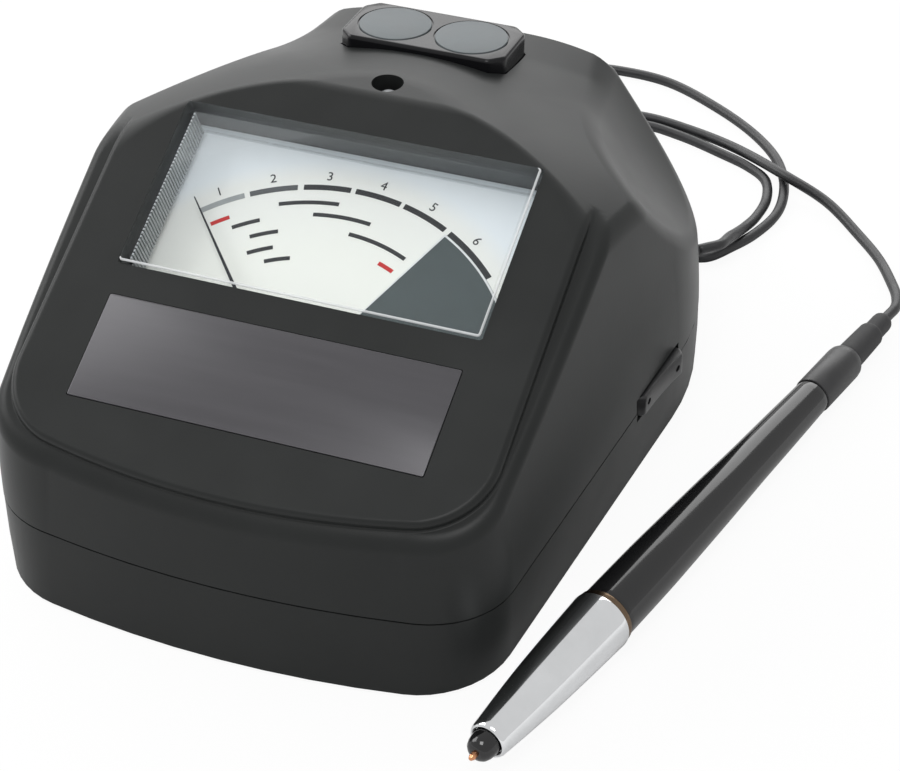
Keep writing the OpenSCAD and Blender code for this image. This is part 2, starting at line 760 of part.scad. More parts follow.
// Bridge over the movement, with the upper bearing
bridge_w = 5;
bridge_low = 10.9;
bridge_t = 1.2;
bridge_leg = 2.8;
module meter_bridge() {
  color("#c6a35c") on_pivot() difference() {
    union() {
      translate([-yoke_r + 0.6, -bridge_w / 2, -bridge_low])
        cube([2 * (yoke_r - 0.6), bridge_w, bridge_t]);
      for (s = [0, 1]) mirror([s, 0, 0]) translate([yoke_r - 0.6 - bridge_leg, -bridge_w / 2, -core_top])
        cube([bridge_leg, bridge_w, core_top - bridge_low]);
    }
    translate([0, 0, -bridge_low - 1]) cylinder(r = staff_r + run_gap, h = 4);
  }
}

// Flat spiral spring above the bridge; its outer end stands on the bridge
spring_in = 1.4;
spring_out = 5.4;
spring_turns = 3;
spring_t = 0.2;
spring_h = 0.5;
spring_low = 9;
function spiral(r_add) = [
  for (i = [0 : 24 * spring_turns])
    let (r = spring_in + (spring_out - spring_in) * i / (24 * spring_turns) + r_add, a = 15 * i)
    [r * cos(a), r * sin(a)]
];
module hairspring() {
  inner = spiral(0);
  outer = spiral(spring_t);
  color("#b98f4d") on_pivot() {
    translate([0, 0, -spring_low]) linear_extrude(height = spring_h)
      polygon(concat(inner, [for (i = [len(outer) - 1 : -1 : 0]) outer[i]]));
    translate([spring_out - 0.2, -0.5, -bridge_low + bridge_t])
      cube([0.8, 1, bridge_low - bridge_t - spring_low + spring_h]);
  }
}

module meter_screws() {
  color("#b4b8ba") on_panel() at_ears() {
    translate([0, 0, -ear_top - ear_t]) cylinder(r = meter_screw_r, h = ear_t + 2.6);
    translate([0, 0, -ear_top - ear_t - 1.6]) cylinder(r = meter_screw_r + 1.2, h = 1.6);
  }
}

module disc_holder() {
  color("#17181a") on_holder() difference() {
    translate([0, 0, -holder_t]) linear_extrude(height = holder_t) holder_outline(0);
    at_discs() translate([0, 0, -disc_t + disc_proud]) cylinder(r = disc_r + run_gap, h = 5);
    at_discs() translate([0, 0, -0.25]) cylinder(r = disc_r + 0.35, h = 5);
  }
}
module at_discs() {
  for (s = [-1, 1]) translate([s * disc_pitch / 2, 0, 0]) children();
}
module reference_disc(side) {
  color("#8d979b") on_holder() translate([side * disc_pitch / 2, 0, -disc_t + disc_proud])
    cylinder(r = disc_r, h = disc_t);
}
module disc_left() {
  reference_disc(-1);
}
module disc_right() {
  reference_disc(1);
}

// Lamp pushed up its tube until its flange meets the tube's foot
module ready_lamp() {
  color("#c9ccd0") translate([0, lamp_y, lamp_foot_z]) {
    translate([0, 0, -lamp_flange_t]) cylinder(r = lamp_r + 0.6, h = lamp_flange_t);
    cylinder(r = lamp_r, h = lamp_step_z - lamp_foot_z + 0.6);
    translate([0, 0, lamp_step_z - lamp_foot_z + 0.6]) intersection() {
      sphere(r = lamp_r);
      cylinder(r = lamp_r + 1, h = lamp_r + 1);
    }
    for (s = [-1, 1]) translate([s * 1.27 - 0.25, -0.25, -lamp_flange_t - lamp_lead_l])
      cube([0.5, 0.5, lamp_lead_l]);
  }
}
lamp_lead_l = lamp_foot_z - lamp_flange_t - board_z - board_t;

// Rocker button: its front end stands out at rest and its rear end is pressed in
button_half = slot_l / 2 - 0.55;
button_out = 5.9;
button_h = slot_h - 0.4;
rocker_boss_r = 2.3;
ear_gap = 0.2;
ear_plate = 1.6;
module power_button() {
  color("#1b1c1e") on_switch() translate([rocker_r, 0, 0]) rotate([0, 0, rocker_travel / 2]) {
    translate([0, 0, -button_h / 2]) linear_extrude(height = button_h) polygon([
      [1.6, -1.6], [2.6, -button_half], [button_out - 1.6, -button_half], [button_out, -button_half + 1.5],
      [button_out - 0.7, 0],
      [button_out, button_half - 1.5], [button_out - 1.6, button_half], [2.6, button_half], [1.6, 1.6]
    ]);
    translate([0, 0, -button_h / 2]) cylinder(r = rocker_boss_r, h = button_h);
    translate([0, 0, -button_h / 2 - ear_gap - ear_plate])
      cylinder(r = rocker_pin_r, h = button_h + 2 * (ear_gap + ear_plate));
  }
}

// Switch behind the rocker: a block with two ears that carry the pin
switch_body_h = button_h + 2 * (ear_gap + ear_plate);
module switch_body() {
  color("#2a2b2d") on_switch() translate([rocker_r, 0, 0]) difference() {
    union() {
      translate([-9, -7, -switch_body_h / 2]) cube([6, 14, switch_body_h]);
      for (s = [0, 1]) mirror([0, 0, s]) translate([-4, -2.5, button_h / 2 + ear_gap])
        cube([5.4, 5, ear_plate]);
    }
    translate([0, 0, -switch_body_h]) cylinder(r = rocker_pin_r + run_gap, h = 2 * switch_body_h);
  }
}

module circuit_board() {
  color("#2f6b45") translate([0, 0, board_z]) difference() {
    translate([-board_w / 2, bay_y - board_l / 2, 0]) cube([board_w, board_l, board_t]);
    at_board_holes() translate([0, 0, -1]) cylinder(r = board_screw_r + 0.2, h = board_t + 2);
  }
}

// Parts soldered on the board: chips [x, y, width, depth, height] and cans [x, y, radius, height]
chips = [[-18, -8, 12, 8, 2.2], [6, 2, 16, 10, 2.4], [-20, 10, 8, 8, 2], [20, 12, 10, 6, 3]];
cans = [[16, -10, 3, 8], [24, -8, 2.5, 7], [-4, 16, 3, 9]];
module board_parts() {
  color("#33363a") translate([0, 0, board_z + board_t]) {
    for (c = chips) translate([c[0] - c[2] / 2, bay_y + c[1] - c[3] / 2, 0]) cube([c[2], c[3], c[4]]);
    for (c = cans) translate([c[0], bay_y + c[1], 0]) cylinder(r = c[2], h = c[3]);
  }
}

module board_screws() {
  color("#b4b8ba") at_board_holes() {
    translate([0, 0, board_z - board_screw_in]) cylinder(r = board_screw_r, h = board_screw_in + board_t);
    translate([0, 0, board_z + board_t]) cylinder(r = 2.2, h = 1.4);
  }
}

// Door of the battery bay, with a finger groove
door_h = door_t - 0.1;
module battery_door() {
  color("#303132") difference() {
    union() {
      translate([-door_w / 2, bay_y - door_d / 2, door_z]) cube([door_w, door_d, door_h]);
      translate([-bay_w / 2 + 1, bay_y + bay_d / 2 - 2.2, door_z]) cube([bay_w - 2, 1.9, 3.4]);
    }
    for (i = [-2 : 2]) translate([-9, bay_y - door_d / 2 + 6 + 1.8 * i, door_z - 1]) cube([18, 0.9, 1.6]);
  }
}

// Three cells side by side, with their buttons at alternate ends
cell_button_l = 1.5;
cell_z = inner_floor_z + cell_d / 2 + 0.15;
module battery_cells() {
  color("#8f9aa6") for (i = [-1 : 1])
    translate([0, bay_y + i * cell_pitch, cell_z]) rotate([0, 90, i * i * 180]) {
      translate([0, 0, -cell_l / 2]) cylinder(r = cell_d / 2, h = cell_l - cell_button_l);
      translate([0, 0, cell_l / 2 - cell_button_l]) cylinder(r = 2.7, h = cell_button_l);
    }
}

// Contact plates at both ends of the bay, each with a sprung boss against its cell
contact_t = 0.5;
module battery_contacts() {
  gap = (bay_w - cell_l) / 2;
  color("#c4c7c9") both_sides() for (i = [-1 : 1])
    translate([bay_w / 2 - contact_t, bay_y + i * cell_pitch, cell_z]) {
      translate([0, -5.5, -5.5]) cube([contact_t, 11, 11]);
      rotate([0, -90, 0]) cylinder(r1 = 4, r2 = 2.2, h = gap - contact_t);
    }
}

// Power jack: collar in the wall, block inside, socket bore and centre pin
module power_jack() {
  color("#202123") on_rear_arc(jack_a, jack_z) translate([jack_wall_r, 0, 0]) difference() {
    union() {
      rotate([0, -90, 0]) cylinder(r = jack_collar_r, h = wall + 2.5);
      translate([-wall - 1.8 - jack_body.x, -jack_body.y / 2, -jack_body.z / 2]) cube(jack_body);
    }
    rotate([0, -90, 0]) translate([0, 0, -1]) cylinder(r = jack_bore_r, h = jack_depth + 1);
  }
}
module jack_pin() {
  color("#c4c7c9") on_rear_arc(jack_a, jack_z) translate([jack_wall_r - jack_depth, 0, 0])
    rotate([0, 90, 0]) cylinder(r = 1, h = jack_depth - 1.5);
}

module case_screws() {
  color("#8e9294") at_bosses() {
    translate([0, 0, screw_head_seat]) cylinder(r = screw_r, h = screw_l);
    translate([0, 0, screw_head_seat - 2]) cylinder(r = screw_head_r, h = 2);
  }
}

module rubber_feet() {
  color("#1e1f20") at_feet() cylinder(r = foot_r, h = foot_t);
}

// Strain relief: a flange inside the wall, a neck through it and a ribbed tail outside
relief_tail_r = 1.7;
module strain_relief() {
  color("#1c1d1f") on_rear_arc(relief_a, relief_z) translate([relief_wall_r, 0, 0]) rotate([0, 90, 0]) {
    translate([0, 0, -wall - 1.9]) cylinder(r = relief_r + 1.2, h = 1.5);
    translate([0, 0, -wall - 1]) cylinder(r = relief_r, h = wall + 1.6);
    translate([0, 0, 0.6]) cylinder(r1 = relief_r + 0.3, r2 = relief_tail_r, h = relief_out - 0.6);
  }
}

// The pen's axis: it rests on its ferrule and its collar, so it drops towards the cord
pen_heading = 75.75;
pen_rear_r = 3.8;
pen_rear_bevel = 1;
sleeve_s = pen_l - sleeve_l;
collar_s = sleeve_s - collar_l;
pen_drop = asin((ferrule_r - pen_rear_r) / (sleeve_s - pen_rear_bevel - joint_s));
pen_dir = [cos(pen_drop) * cos(pen_heading), cos(pen_drop) * sin(pen_heading), -sin(pen_drop)];
pen_nose = [52.8, -87, ferrule_r + 0.02 + joint_s * sin(pen_drop)];
pen_end = pen_nose + pen_l * pen_dir;

// Route of the cord, points chosen by hand: out of the case, round behind it and into the coil
relief_dir = [cos(relief_a), sin(relief_a), 0];
relief_end = [0, rear_cy, relief_z] + (relief_wall_r + relief_out) * relief_dir;
case_route = concat([for (i = [0 : 2]) relief_end + 2.5 * i * relief_dir], [
  [52, 67.5, 5.6], [52.5, 72, 3.8], [52.9, 76.5, 2.1], [53.8, 82, 1.1],
  [54.2, 89, 1.1], [52, 96, 1.1], [47, 99.8, 1.1], [40, 102.8, 1.1], [30, 106.4, 1.1], [20.5, 108, 1.1],
  [14.5, 105, 1.1], [12, 99, 1.1], [13, 92, 1.1], [17, 86, 1.1], [23, 80, 1.1], [30, 74, 1.1],
  [36.5, 68.5, 1.1], [42, 64.8, 1.1], [47.5, 64.8, 1.1], [52.1, 70.6, 1.1], [55.4, 76.6, 1.1],
  [57.7, 85, 1.1], [56.6, 94.8, 1.1], [52.5, 104, 1.1], [45.3, 112, 1.1], [34, 120, 1.1], [20.5, 126.5, 1.1],
  [9, 127.6, 1.1], [-3, 126, 1.1], [-13, 124, 1.1], [-21, 123.2, 1.1]
]);
// From the coil, over the loop and on to the pen
pen_route = concat([
  [-20, 92.8, 1.1], [-10, 94, 1.1], [-2.5, 98, 1.1], [3, 104, 1.1], [10.5, 109.8, 1.1], [20.5, 111.2, 1.1],
  [31, 109.4, 1.1], [42.4, 104.9, 1.8], [56.6, 95.6, 3.5], [67, 90.8, 2.2], [76, 82.9, 1.1], [82.2, 75.4, 1.4],
  [86.6, 67.6, 2.1], [88.9, 62.3, 2.8]
], [for (i = [2 : -1 : 0]) pen_end + 2.5 * i * pen_dir]);
coil_c = [-22, 108];
cord_sides = 8;

// Cord: one ring at every route point and one halfway, on a smooth curve through the points
function unit(v) = v / norm(v);
function curve(p, i, t) =
  let (
    k = len(p) - 1,
    a = p[max(i - 1, 0)],
    b = p[i],
    c = p[min(i + 1, k)],
    d = p[min(i + 2, k)]
  )
  0.5 * (2 * b + (c - a) * t + (2 * a - 5 * b + 4 * c - d) * t * t + (3 * b - a - 3 * c + d) * t * t * t);
function route_points(p) = concat(
  [for (i = [0 : len(p) - 2]) each [curve(p, i, 0), curve(p, i, 0.5)]],
  [p[len(p) - 1]]
);
function cord_rings(p, r, sides) = [
  for (i = [0 : len(p) - 1])
    let (
      t = unit(p[min(i + 1, len(p) - 1)] - p[max(i - 1, 0)]),
      s = unit(cross(t, [0, 0, 1])),
      u = cross(s, t)
    )
    [for (j = [0 : sides - 1]) let (a = 360 * (j + 0.5) / sides) p[i] + r * (cos(a) * s + sin(a) * u)]
];
cord_ring_r = cord_d / 2 / cos(180 / cord_sides) - 0.02;
module cord_tube(route) {
  loft(cord_rings(route_points(route), cord_ring_r, cord_sides));
}
module cord_case_end() {
  color("#26282a") cord_tube(case_route);
}
module cord_pen_end() {
  color("#26282a") cord_tube(pen_route);
}

// Coil of spare cord: three turns wide and two high
coil_wide = 3;
coil_high = 2;
module cord_coil() {
  half = coil_wide * cord_d / 2;
  height = coil_high * cord_d;
  color("#26282a") translate(coil_c) rotate_extrude() translate([coil_r, 0]) polygon([
    [-half + 0.7, 0], [half - 0.7, 0], [half, 0.7], [half, height - 0.7],
    [half - 0.7, height], [-half + 0.7, height], [-half, height - 0.7], [-half, 0.7]
  ]);
}

// Frame of the pen: z runs along its axis from the nose to the cord, with the pen lying down
module on_pen() {
  translate(pen_nose) rotate([0, 90 + pen_drop, pen_heading]) children();
}

// Turned part of the pen from a profile of [distance, radius] pairs
module turned(profile, bore_r) {
  rotate_extrude($fn = 96) polygon(concat(
    [for (p = profile) [p[1], p[0]]],
    [[bore_r, profile[len(profile) - 1][0]], [bore_r, profile[0][0]]]
  ));
}

// Pen profile: named radii along the axis
nose_r = 3.1;
nose_tip_r = 1.6;
barrel_r = 5.4;
barrel_rear_r = 3.6;
sleeve_r = 2.9;
sleeve_end_r = 2.15;
ring_t = 1.4;
spigot_r = 4;
spigot_l = 8;
carrier_r = 2.1;
flange_s = 14;
flange_t = 1.5;
coil_spring_l = 6;
carrier_back = flange_s + flange_t + coil_spring_l + probe_travel + 0.15;

module pen_nose() {
  color("#141516") on_pen() {
    turned([
      [0, nose_tip_r], [0.1 * nose_l, 0.76 * nose_r], [0.3 * nose_l, 0.92 * nose_r],
      [0.6 * nose_l, nose_r], [nose_l, nose_r]
    ], probe_r + run_gap);
    translate([0, 0, nose_l]) difference() {
      cylinder(r = carrier_r + 0.2, h = 3);
      translate([0, 0, -1]) cylinder(r = probe_r + run_gap, h = 5);
    }
  }
}

module pen_ferrule() {
  step = (joint_s - nose_l) / 4;
  color("#c9ccce") on_pen() difference() {
    turned([
      [nose_l, ferrule_front_r], [nose_l + step, ferrule_front_r + 0.36 * (ferrule_r - ferrule_front_r)],
      [nose_l + 2 * step, ferrule_front_r + 0.65 * (ferrule_r - ferrule_front_r)],
      [nose_l + 3 * step, ferrule_front_r + 0.87 * (ferrule_r - ferrule_front_r)], [joint_s, ferrule_r]
    ], carrier_r + 0.25);
    translate([0, 0, joint_s - spigot_l - 0.2]) cylinder(r = spigot_r + seat_gap, h = spigot_l + 1);
  }
}

// Plastic carrier in the ferrule that guides the probe and holds its spring
module pen_carrier() {
  color("#3a3c40") on_pen() difference() {
    translate([0, 0, nose_l + 3]) cylinder(r = carrier_r + 0.2, h = carrier_back + 3 - nose_l - 3);
    translate([0, 0, nose_l + 2]) cylinder(r = carrier_r - 0.25, h = carrier_back - nose_l - 2);
    translate([0, 0, nose_l]) cylinder(r = probe_r + run_gap, h = carrier_back + 5);
  }
}

module probe_rod() {
  color("#b3703f") on_pen() {
    translate([0, 0, -probe_out]) cylinder(r1 = probe_r * 0.6, r2 = probe_r, h = 0.5);
    translate([0, 0, -probe_out + 0.5]) cylinder(r = probe_r, h = probe_out + carrier_back);
    translate([0, 0, flange_s]) cylinder(r = carrier_r - 0.35, h = flange_t);
  }
}

// Helical spring behind the probe's flange
spring_wire_r = 0.2;
spring_mean_r = 1.2;
coil_spring_turns = 5;
module probe_spring() {
  steps = 12 * coil_spring_turns;
  run = coil_spring_l - 2 * spring_wire_r;
  path = [
    for (i = [0 : steps])
      [spring_mean_r * cos(30 * i), spring_mean_r * sin(30 * i), run * i / steps]
  ];
  color("#c4c7c9") on_pen() translate([0, 0, flange_s + flange_t + spring_wire_r])
    loft(cord_rings(path, spring_wire_r, 6));
}

module pen_ring() {
  color("#5b4a3a") on_pen() turned(
    [
      [joint_s, ferrule_r - 0.35], [joint_s + ring_t / 2, ferrule_r - 0.2],
      [joint_s + ring_t, ferrule_r - 0.45]
    ],
    spigot_r + seat_gap
  );
}

module pen_barrel() {
  s0 = joint_s + ring_t;
  run = collar_s - s0;
  color("#101112") on_pen() difference() {
    union() {
      turned([
        [s0, barrel_r], [s0 + 0.2 * run, barrel_r - 0.1], [s0 + 0.45 * run, barrel_r - 0.6],
        [s0 + 0.75 * run, barrel_r - 1.3], [collar_s, barrel_rear_r]
      ], 2.4);
      translate([0, 0, joint_s - spigot_l]) cylinder(r = spigot_r, h = spigot_l + ring_t + 1);
      translate([0, 0, collar_s - 1]) cylinder(r = barrel_rear_r - 0.7, h = 7);
    }
    translate([0, 0, joint_s - spigot_l - 1]) cylinder(r = 2.4, h = collar_s + 20);
  }
}

module pen_collar() {
  color("#222325") on_pen() difference() {
    turned([
      [collar_s, pen_rear_r], [sleeve_s - pen_rear_bevel, pen_rear_r], [sleeve_s, pen_rear_r - 0.5]
    ], 2);
    translate([0, 0, collar_s - 1]) cylinder(r = barrel_rear_r - 0.7 + seat_gap, h = 7.2);
  }
}

module pen_sleeve() {
  color("#1a1b1c") on_pen() {
    translate([0, 0, sleeve_s - 4]) cylinder(r = 2, h = 4);
    turned([
      [sleeve_s, sleeve_r], [pen_l - 5, sleeve_r - 0.3], [pen_l - 4.2, sleeve_end_r],
      [pen_l - 1, sleeve_end_r], [pen_l, sleeve_end_r - 0.3]
    ], 0);
  }
}

upper_case();
base_cover();
nameplate();
meter_window();
meter_housing();
dial_plate();
dial_scale();
pointer();
pointer_staff();
moving_coil();
hairspring();
magnet_yoke();
magnet_core();
meter_bridge();
lower_bearing();
meter_screws();
disc_holder();
disc_left();
disc_right();
ready_lamp();
power_button();
switch_body();
circuit_board();
board_parts();
board_screws();
battery_door();
battery_cells();
battery_contacts();
power_jack();
jack_pin();
case_screws();
rubber_feet();
strain_relief();
cord_case_end();
cord_coil();
cord_pen_end();
pen_nose();
pen_ferrule();
pen_ring();
pen_barrel();
pen_collar();
pen_sleeve();
pen_carrier();
probe_rod();
probe_spring();
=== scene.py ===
# %% [markdown]
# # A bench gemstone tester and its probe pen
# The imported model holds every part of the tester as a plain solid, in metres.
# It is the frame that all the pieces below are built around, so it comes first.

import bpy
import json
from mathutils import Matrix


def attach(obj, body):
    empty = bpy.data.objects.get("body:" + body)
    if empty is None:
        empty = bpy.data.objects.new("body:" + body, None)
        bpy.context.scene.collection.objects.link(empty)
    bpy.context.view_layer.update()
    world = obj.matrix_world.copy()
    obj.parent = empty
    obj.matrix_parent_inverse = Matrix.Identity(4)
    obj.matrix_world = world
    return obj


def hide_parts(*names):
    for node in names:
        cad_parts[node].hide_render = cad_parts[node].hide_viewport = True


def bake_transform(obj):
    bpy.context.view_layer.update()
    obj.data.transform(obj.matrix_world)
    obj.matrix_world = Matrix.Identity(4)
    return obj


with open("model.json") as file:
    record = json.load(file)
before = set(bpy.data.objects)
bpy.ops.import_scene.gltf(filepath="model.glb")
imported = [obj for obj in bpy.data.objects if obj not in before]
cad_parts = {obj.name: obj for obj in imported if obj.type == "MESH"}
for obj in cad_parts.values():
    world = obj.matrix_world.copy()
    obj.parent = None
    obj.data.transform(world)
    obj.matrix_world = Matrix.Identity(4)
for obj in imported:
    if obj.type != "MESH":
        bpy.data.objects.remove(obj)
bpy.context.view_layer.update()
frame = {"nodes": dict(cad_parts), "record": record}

import json
import math

import bmesh
import bpy
import numpy as np
from mathutils import Matrix, Vector

MM = 0.001
scene = bpy.context.scene
scene.view_settings.view_transform = "Standard"
print("nodes in the frame:", len(frame["nodes"]))

# %% [markdown]
# ## The camera
# A long lens looks down on the tester from the front right. Its place, direction
# and small tilt come from a fit to the window, the nameplate, the edges of panel
# and foot, and the discs. One picture can't fix the size of a thing: the width
# sets the scale, and the fit was also drawn towards an assumed pen length and
# disc height. The camera is set once and kept.

# %% Camera
AZIMUTH, ELEVATION, ROLL = math.radians(22.0), math.radians(39.48), math.radians(-1.907)
FOCAL_PIXELS, FRAME_WIDTH, SENSOR = 2626.0, 900.0, 36.0
CAMERA_AT = Vector((0.16230, -0.36366, 0.33135))


def camera_matrix():
    right = Vector((math.cos(AZIMUTH), math.sin(AZIMUTH), 0))
    ahead = Vector((
        -math.sin(AZIMUTH) * math.cos(ELEVATION),
        math.cos(AZIMUTH) * math.cos(ELEVATION),
        -math.sin(ELEVATION),
    ))
    up = right.cross(ahead)
    side = math.cos(ROLL) * right + math.sin(ROLL) * up
    top = math.cos(ROLL) * up - math.sin(ROLL) * right
    turn = Matrix((side, top, -ahead)).transposed().to_4x4()
    return Matrix.Translation(CAMERA_AT) @ turn


camera = bpy.data.objects.new("camera", bpy.data.cameras.new("camera"))
camera.data.sensor_width = SENSOR
camera.data.lens = FOCAL_PIXELS / FRAME_WIDTH * SENSOR
camera.data.clip_start, camera.data.clip_end = 0.01, 20
camera.matrix_world = camera_matrix()
scene.collection.objects.link(camera)
scene.camera = camera
print("lens:", round(camera.data.lens, 1), "mm")

# %% [markdown]
# ## Helpers for shapes
# Most pieces start as points in millimetres. These few helpers turn points and
# faces into an object, round the corners of an outline, turn a profile like a
# lathe, and settle the modifiers of a piece into a plain mesh.

# %% Make an object from points and faces
def new_object(name, points, faces, smooth=True):
    mesh = bpy.data.meshes.new(name)
    mesh.from_pydata([(float(p[0]) * MM, float(p[1]) * MM, float(p[2]) * MM) for p in points], [], faces)
    mesh.update()
    mesh.polygons.foreach_set("use_smooth", [smooth] * len(mesh.polygons))
    made = bpy.data.objects.new(name, mesh)
    scene.collection.objects.link(made)
    return made


def outwards(obj):
    """Merges doubled points and turns the faces outwards."""
    work = bmesh.new()
    work.from_mesh(obj.data)
    bmesh.ops.remove_doubles(work, verts=work.verts, dist=1e-6)
    bmesh.ops.recalc_face_normals(work, faces=work.faces)
    work.to_mesh(obj.data)
    work.free()
    obj.data.update()
    return obj


def smooth_by_angle(obj, degrees):
    obj.data.polygons.foreach_set("use_smooth", [True] * len(obj.data.polygons))
    obj.data.set_sharp_from_angle(angle=math.radians(degrees))
    return obj


def settle(obj):
    """Applies all modifiers: the evaluated shape becomes the object's own plain mesh."""
    bpy.context.view_layer.update()
    graph = bpy.context.evaluated_depsgraph_get()
    mesh = bpy.data.meshes.new_from_object(obj.evaluated_get(graph), depsgraph=graph)
    obj.modifiers.clear()
    obj.data = mesh
    return obj


def remove(*objects):
    for obj in objects:
        bpy.data.objects.remove(obj)


# %% Round the corners of an outline
def rounded(points, radii, closed=True, steps=4):
    """The outline with the corner at each point replaced by an arc of its radius."""
    points = [np.array(p, float) for p in points]
    if not hasattr(radii, "__len__"):
        radii = [radii] * len(points)
    made, count = [], len(points)
    for i, corner in enumerate(points):
        if radii[i] <= 0 or (not closed and i in (0, count - 1)):
            made.append(corner)
            continue
        back = points[i - 1] - corner
        on = points[(i + 1) % count] - corner
        back, on = back / np.linalg.norm(back), on / np.linalg.norm(on)
        half = math.acos(max(-1, min(1, float(back @ on)))) / 2
        if half > math.radians(88):
            made.append(corner)
            continue
        reach = radii[i] / math.tan(half)
        middle = corner + (back + on) / np.linalg.norm(back + on) * radii[i] / math.sin(half)
        start, end = corner + back * reach - middle, corner + on * reach - middle
        sweep = math.pi - 2 * half
        for k in range(steps + 1):
            a, b = math.sin(sweep * (1 - k / steps)), math.sin(sweep * k / steps)
            made.append(middle + (a * start + b * end) / math.sin(sweep))
    return made


def prism(name, outline, low, high):
    """A flat outline drawn up into a block, from low to high along z."""
    count = len(outline)
    points = [(p[0], p[1], z) for z in (low, high) for p in outline]
    faces = [list(range(count))[::-1], list(range(count, 2 * count))]
    faces += [[i, (i + 1) % count, count + (i + 1) % count, count + i] for i in range(count)]
    return outwards(new_object(name, points, faces, smooth=False))


def place(obj, matrix):
    """Moves the points themselves, so that the object stays at the origin."""
    obj.data.transform(matrix)
    if matrix.to_3x3().determinant() < 0:
        obj.data.flip_normals()
    return obj


# %% Turn a closed profile like a lathe
def turned(name, profile, steps=96):
    """profile holds [along, radius] pairs of a closed loop that keeps off the axis or touches it."""
    points, faces, rows = [], [], []
    for along, radius in profile:
        if radius < 1e-4:
            rows.append([len(points)] * steps)
            points.append((0, 0, along))
            continue
        rows.append(list(range(len(points), len(points) + steps)))
        turns = [2 * math.pi * k / steps for k in range(steps)]
        points += [(radius * math.cos(t), radius * math.sin(t), along) for t in turns]
    for a, b in zip(rows, rows[1:] + rows[:1]):
        if a[0] == a[1] and b[0] == b[1]:
            continue
        for k in range(steps):
            corner = [a[k], a[(k + 1) % steps], b[(k + 1) % steps], b[k]]
            faces.append(list(dict.fromkeys(corner)))
    return outwards(new_object(name, points, faces))


# %% Cut and join solids
def combined(obj, others, operation):
    """obj joined with or cut by the other solids, which are then removed."""
    for other in others:
        step = obj.modifiers.new("step", "BOOLEAN")
        step.operation, step.solver, step.object = operation, "MANIFOLD", other
        settle(obj)
        remove(other)
    return obj


def softened(obj, width, segments=2, angle=35):
    """Rounds every edge sharper than angle."""
    bevel = obj.modifiers.new("soft edges", "BEVEL")
    bevel.width, bevel.segments, bevel.limit_method = width * MM, segments, "ANGLE"
    bevel.angle_limit = math.radians(angle)
    bevel.use_clamp_overlap = True
    settle(obj)
    return smooth_by_angle(obj, 40)


print("helpers ready")

# %% [markdown]
# ## The cord
# A limp cord of 2.2 mm, about 0.77 m long, joins the case to the pen. The
# photograph shows its two loops beside the case. How long the rest is can't be
# seen, so it is a guess: four and a half turns in two layers behind the case.
# A curve object could be bevelled, but the cord has to bend when the pen is
# lifted, so it is a mesh tube: rings carried along one smooth path.

# %% Points of the cord, in millimetres
CORD_R = 1.1
relief_way = np.array([math.cos(math.radians(40)), math.sin(math.radians(40)), 0])
relief_end = np.array([0, 19.4, 7]) + 62.056 * relief_way
pen_way = np.array([0.24608, 0.96896, -0.023596])
pen_end = np.array([52.8, -87, 6.840]) + 144.5 * pen_way

case_route = [relief_end + 2.5 * i * relief_way for i in range(3)]
case_route += [(52, 67.5, 5.6), (52.5, 72, 3.8), (52.9, 76.5, 2.1)]
case_route += [(x, y, CORD_R) for x, y in [
    (53.8, 82), (54.2, 89), (52, 96), (47, 99.8), (40, 102.8), (30, 106.4), (20.5, 108), (14.5, 105),
    (12, 99), (13, 92), (17, 86), (23, 80), (30, 74), (36.5, 68.5), (42, 64.8), (47.5, 64.8),
    (52.1, 70.6), (55.4, 76.6), (57.7, 85), (56.6, 94.8), (52.5, 104), (45.3, 112), (34, 120),
    (20.5, 126.5), (9, 127.6), (-3, 126), (-13, 124), (-21, 123.2),
]]
pen_route = [
    (-17, 93.1, 2.35), (-13.5, 93.6, 1.4), (-10, 94, 1.1), (-2.5, 98, 1.1), (3, 104, 1.1),
    (10.5, 109.8, 1.1), (20.5, 111.2, 1.1), (31, 109.4, 1.1), (42.4, 104.9, 1.8), (56.6, 95.6, 3.5),
    (67, 90.8, 2.2), (76, 82.9, 1.1), (82.2, 75.4, 1.4), (86.6, 67.6, 2.1), (88.9, 62.3, 2.8),
] + [pen_end + 2.5 * i * pen_way for i in (2, 1, 0)]


def coil_points(middle=(-22, 108), first=94, per_turn=24):
    """Two turns inwards on the table, half a turn up, and two turns outwards on top."""
    made = []
    for k in range(1, 2 * per_turn + 1):
        made.append((15.2 - 2.2 * k / per_turn, k, 1.1))
    for k in range(1, per_turn // 2 + 1):
        climb = min(1, k / per_turn / 0.42)
        dip = 0.5 * math.sin(2 * math.pi * k / per_turn) ** 2
        made.append((10.8 - dip, 2 * per_turn + k, 1.1 + 2.2 * climb * climb * (3 - 2 * climb)))
    for k in range(1, 2 * per_turn + 1):
        made.append((10.8 + 2.2 * k / per_turn, 2.5 * per_turn + k, 3.3))
    turn = [math.radians(first + 360 * k / per_turn) for _, k, _ in made]
    return [(middle[0] + r * math.cos(a), middle[1] + r * math.sin(a), z) for (r, _, z), a in zip(made, turn)]


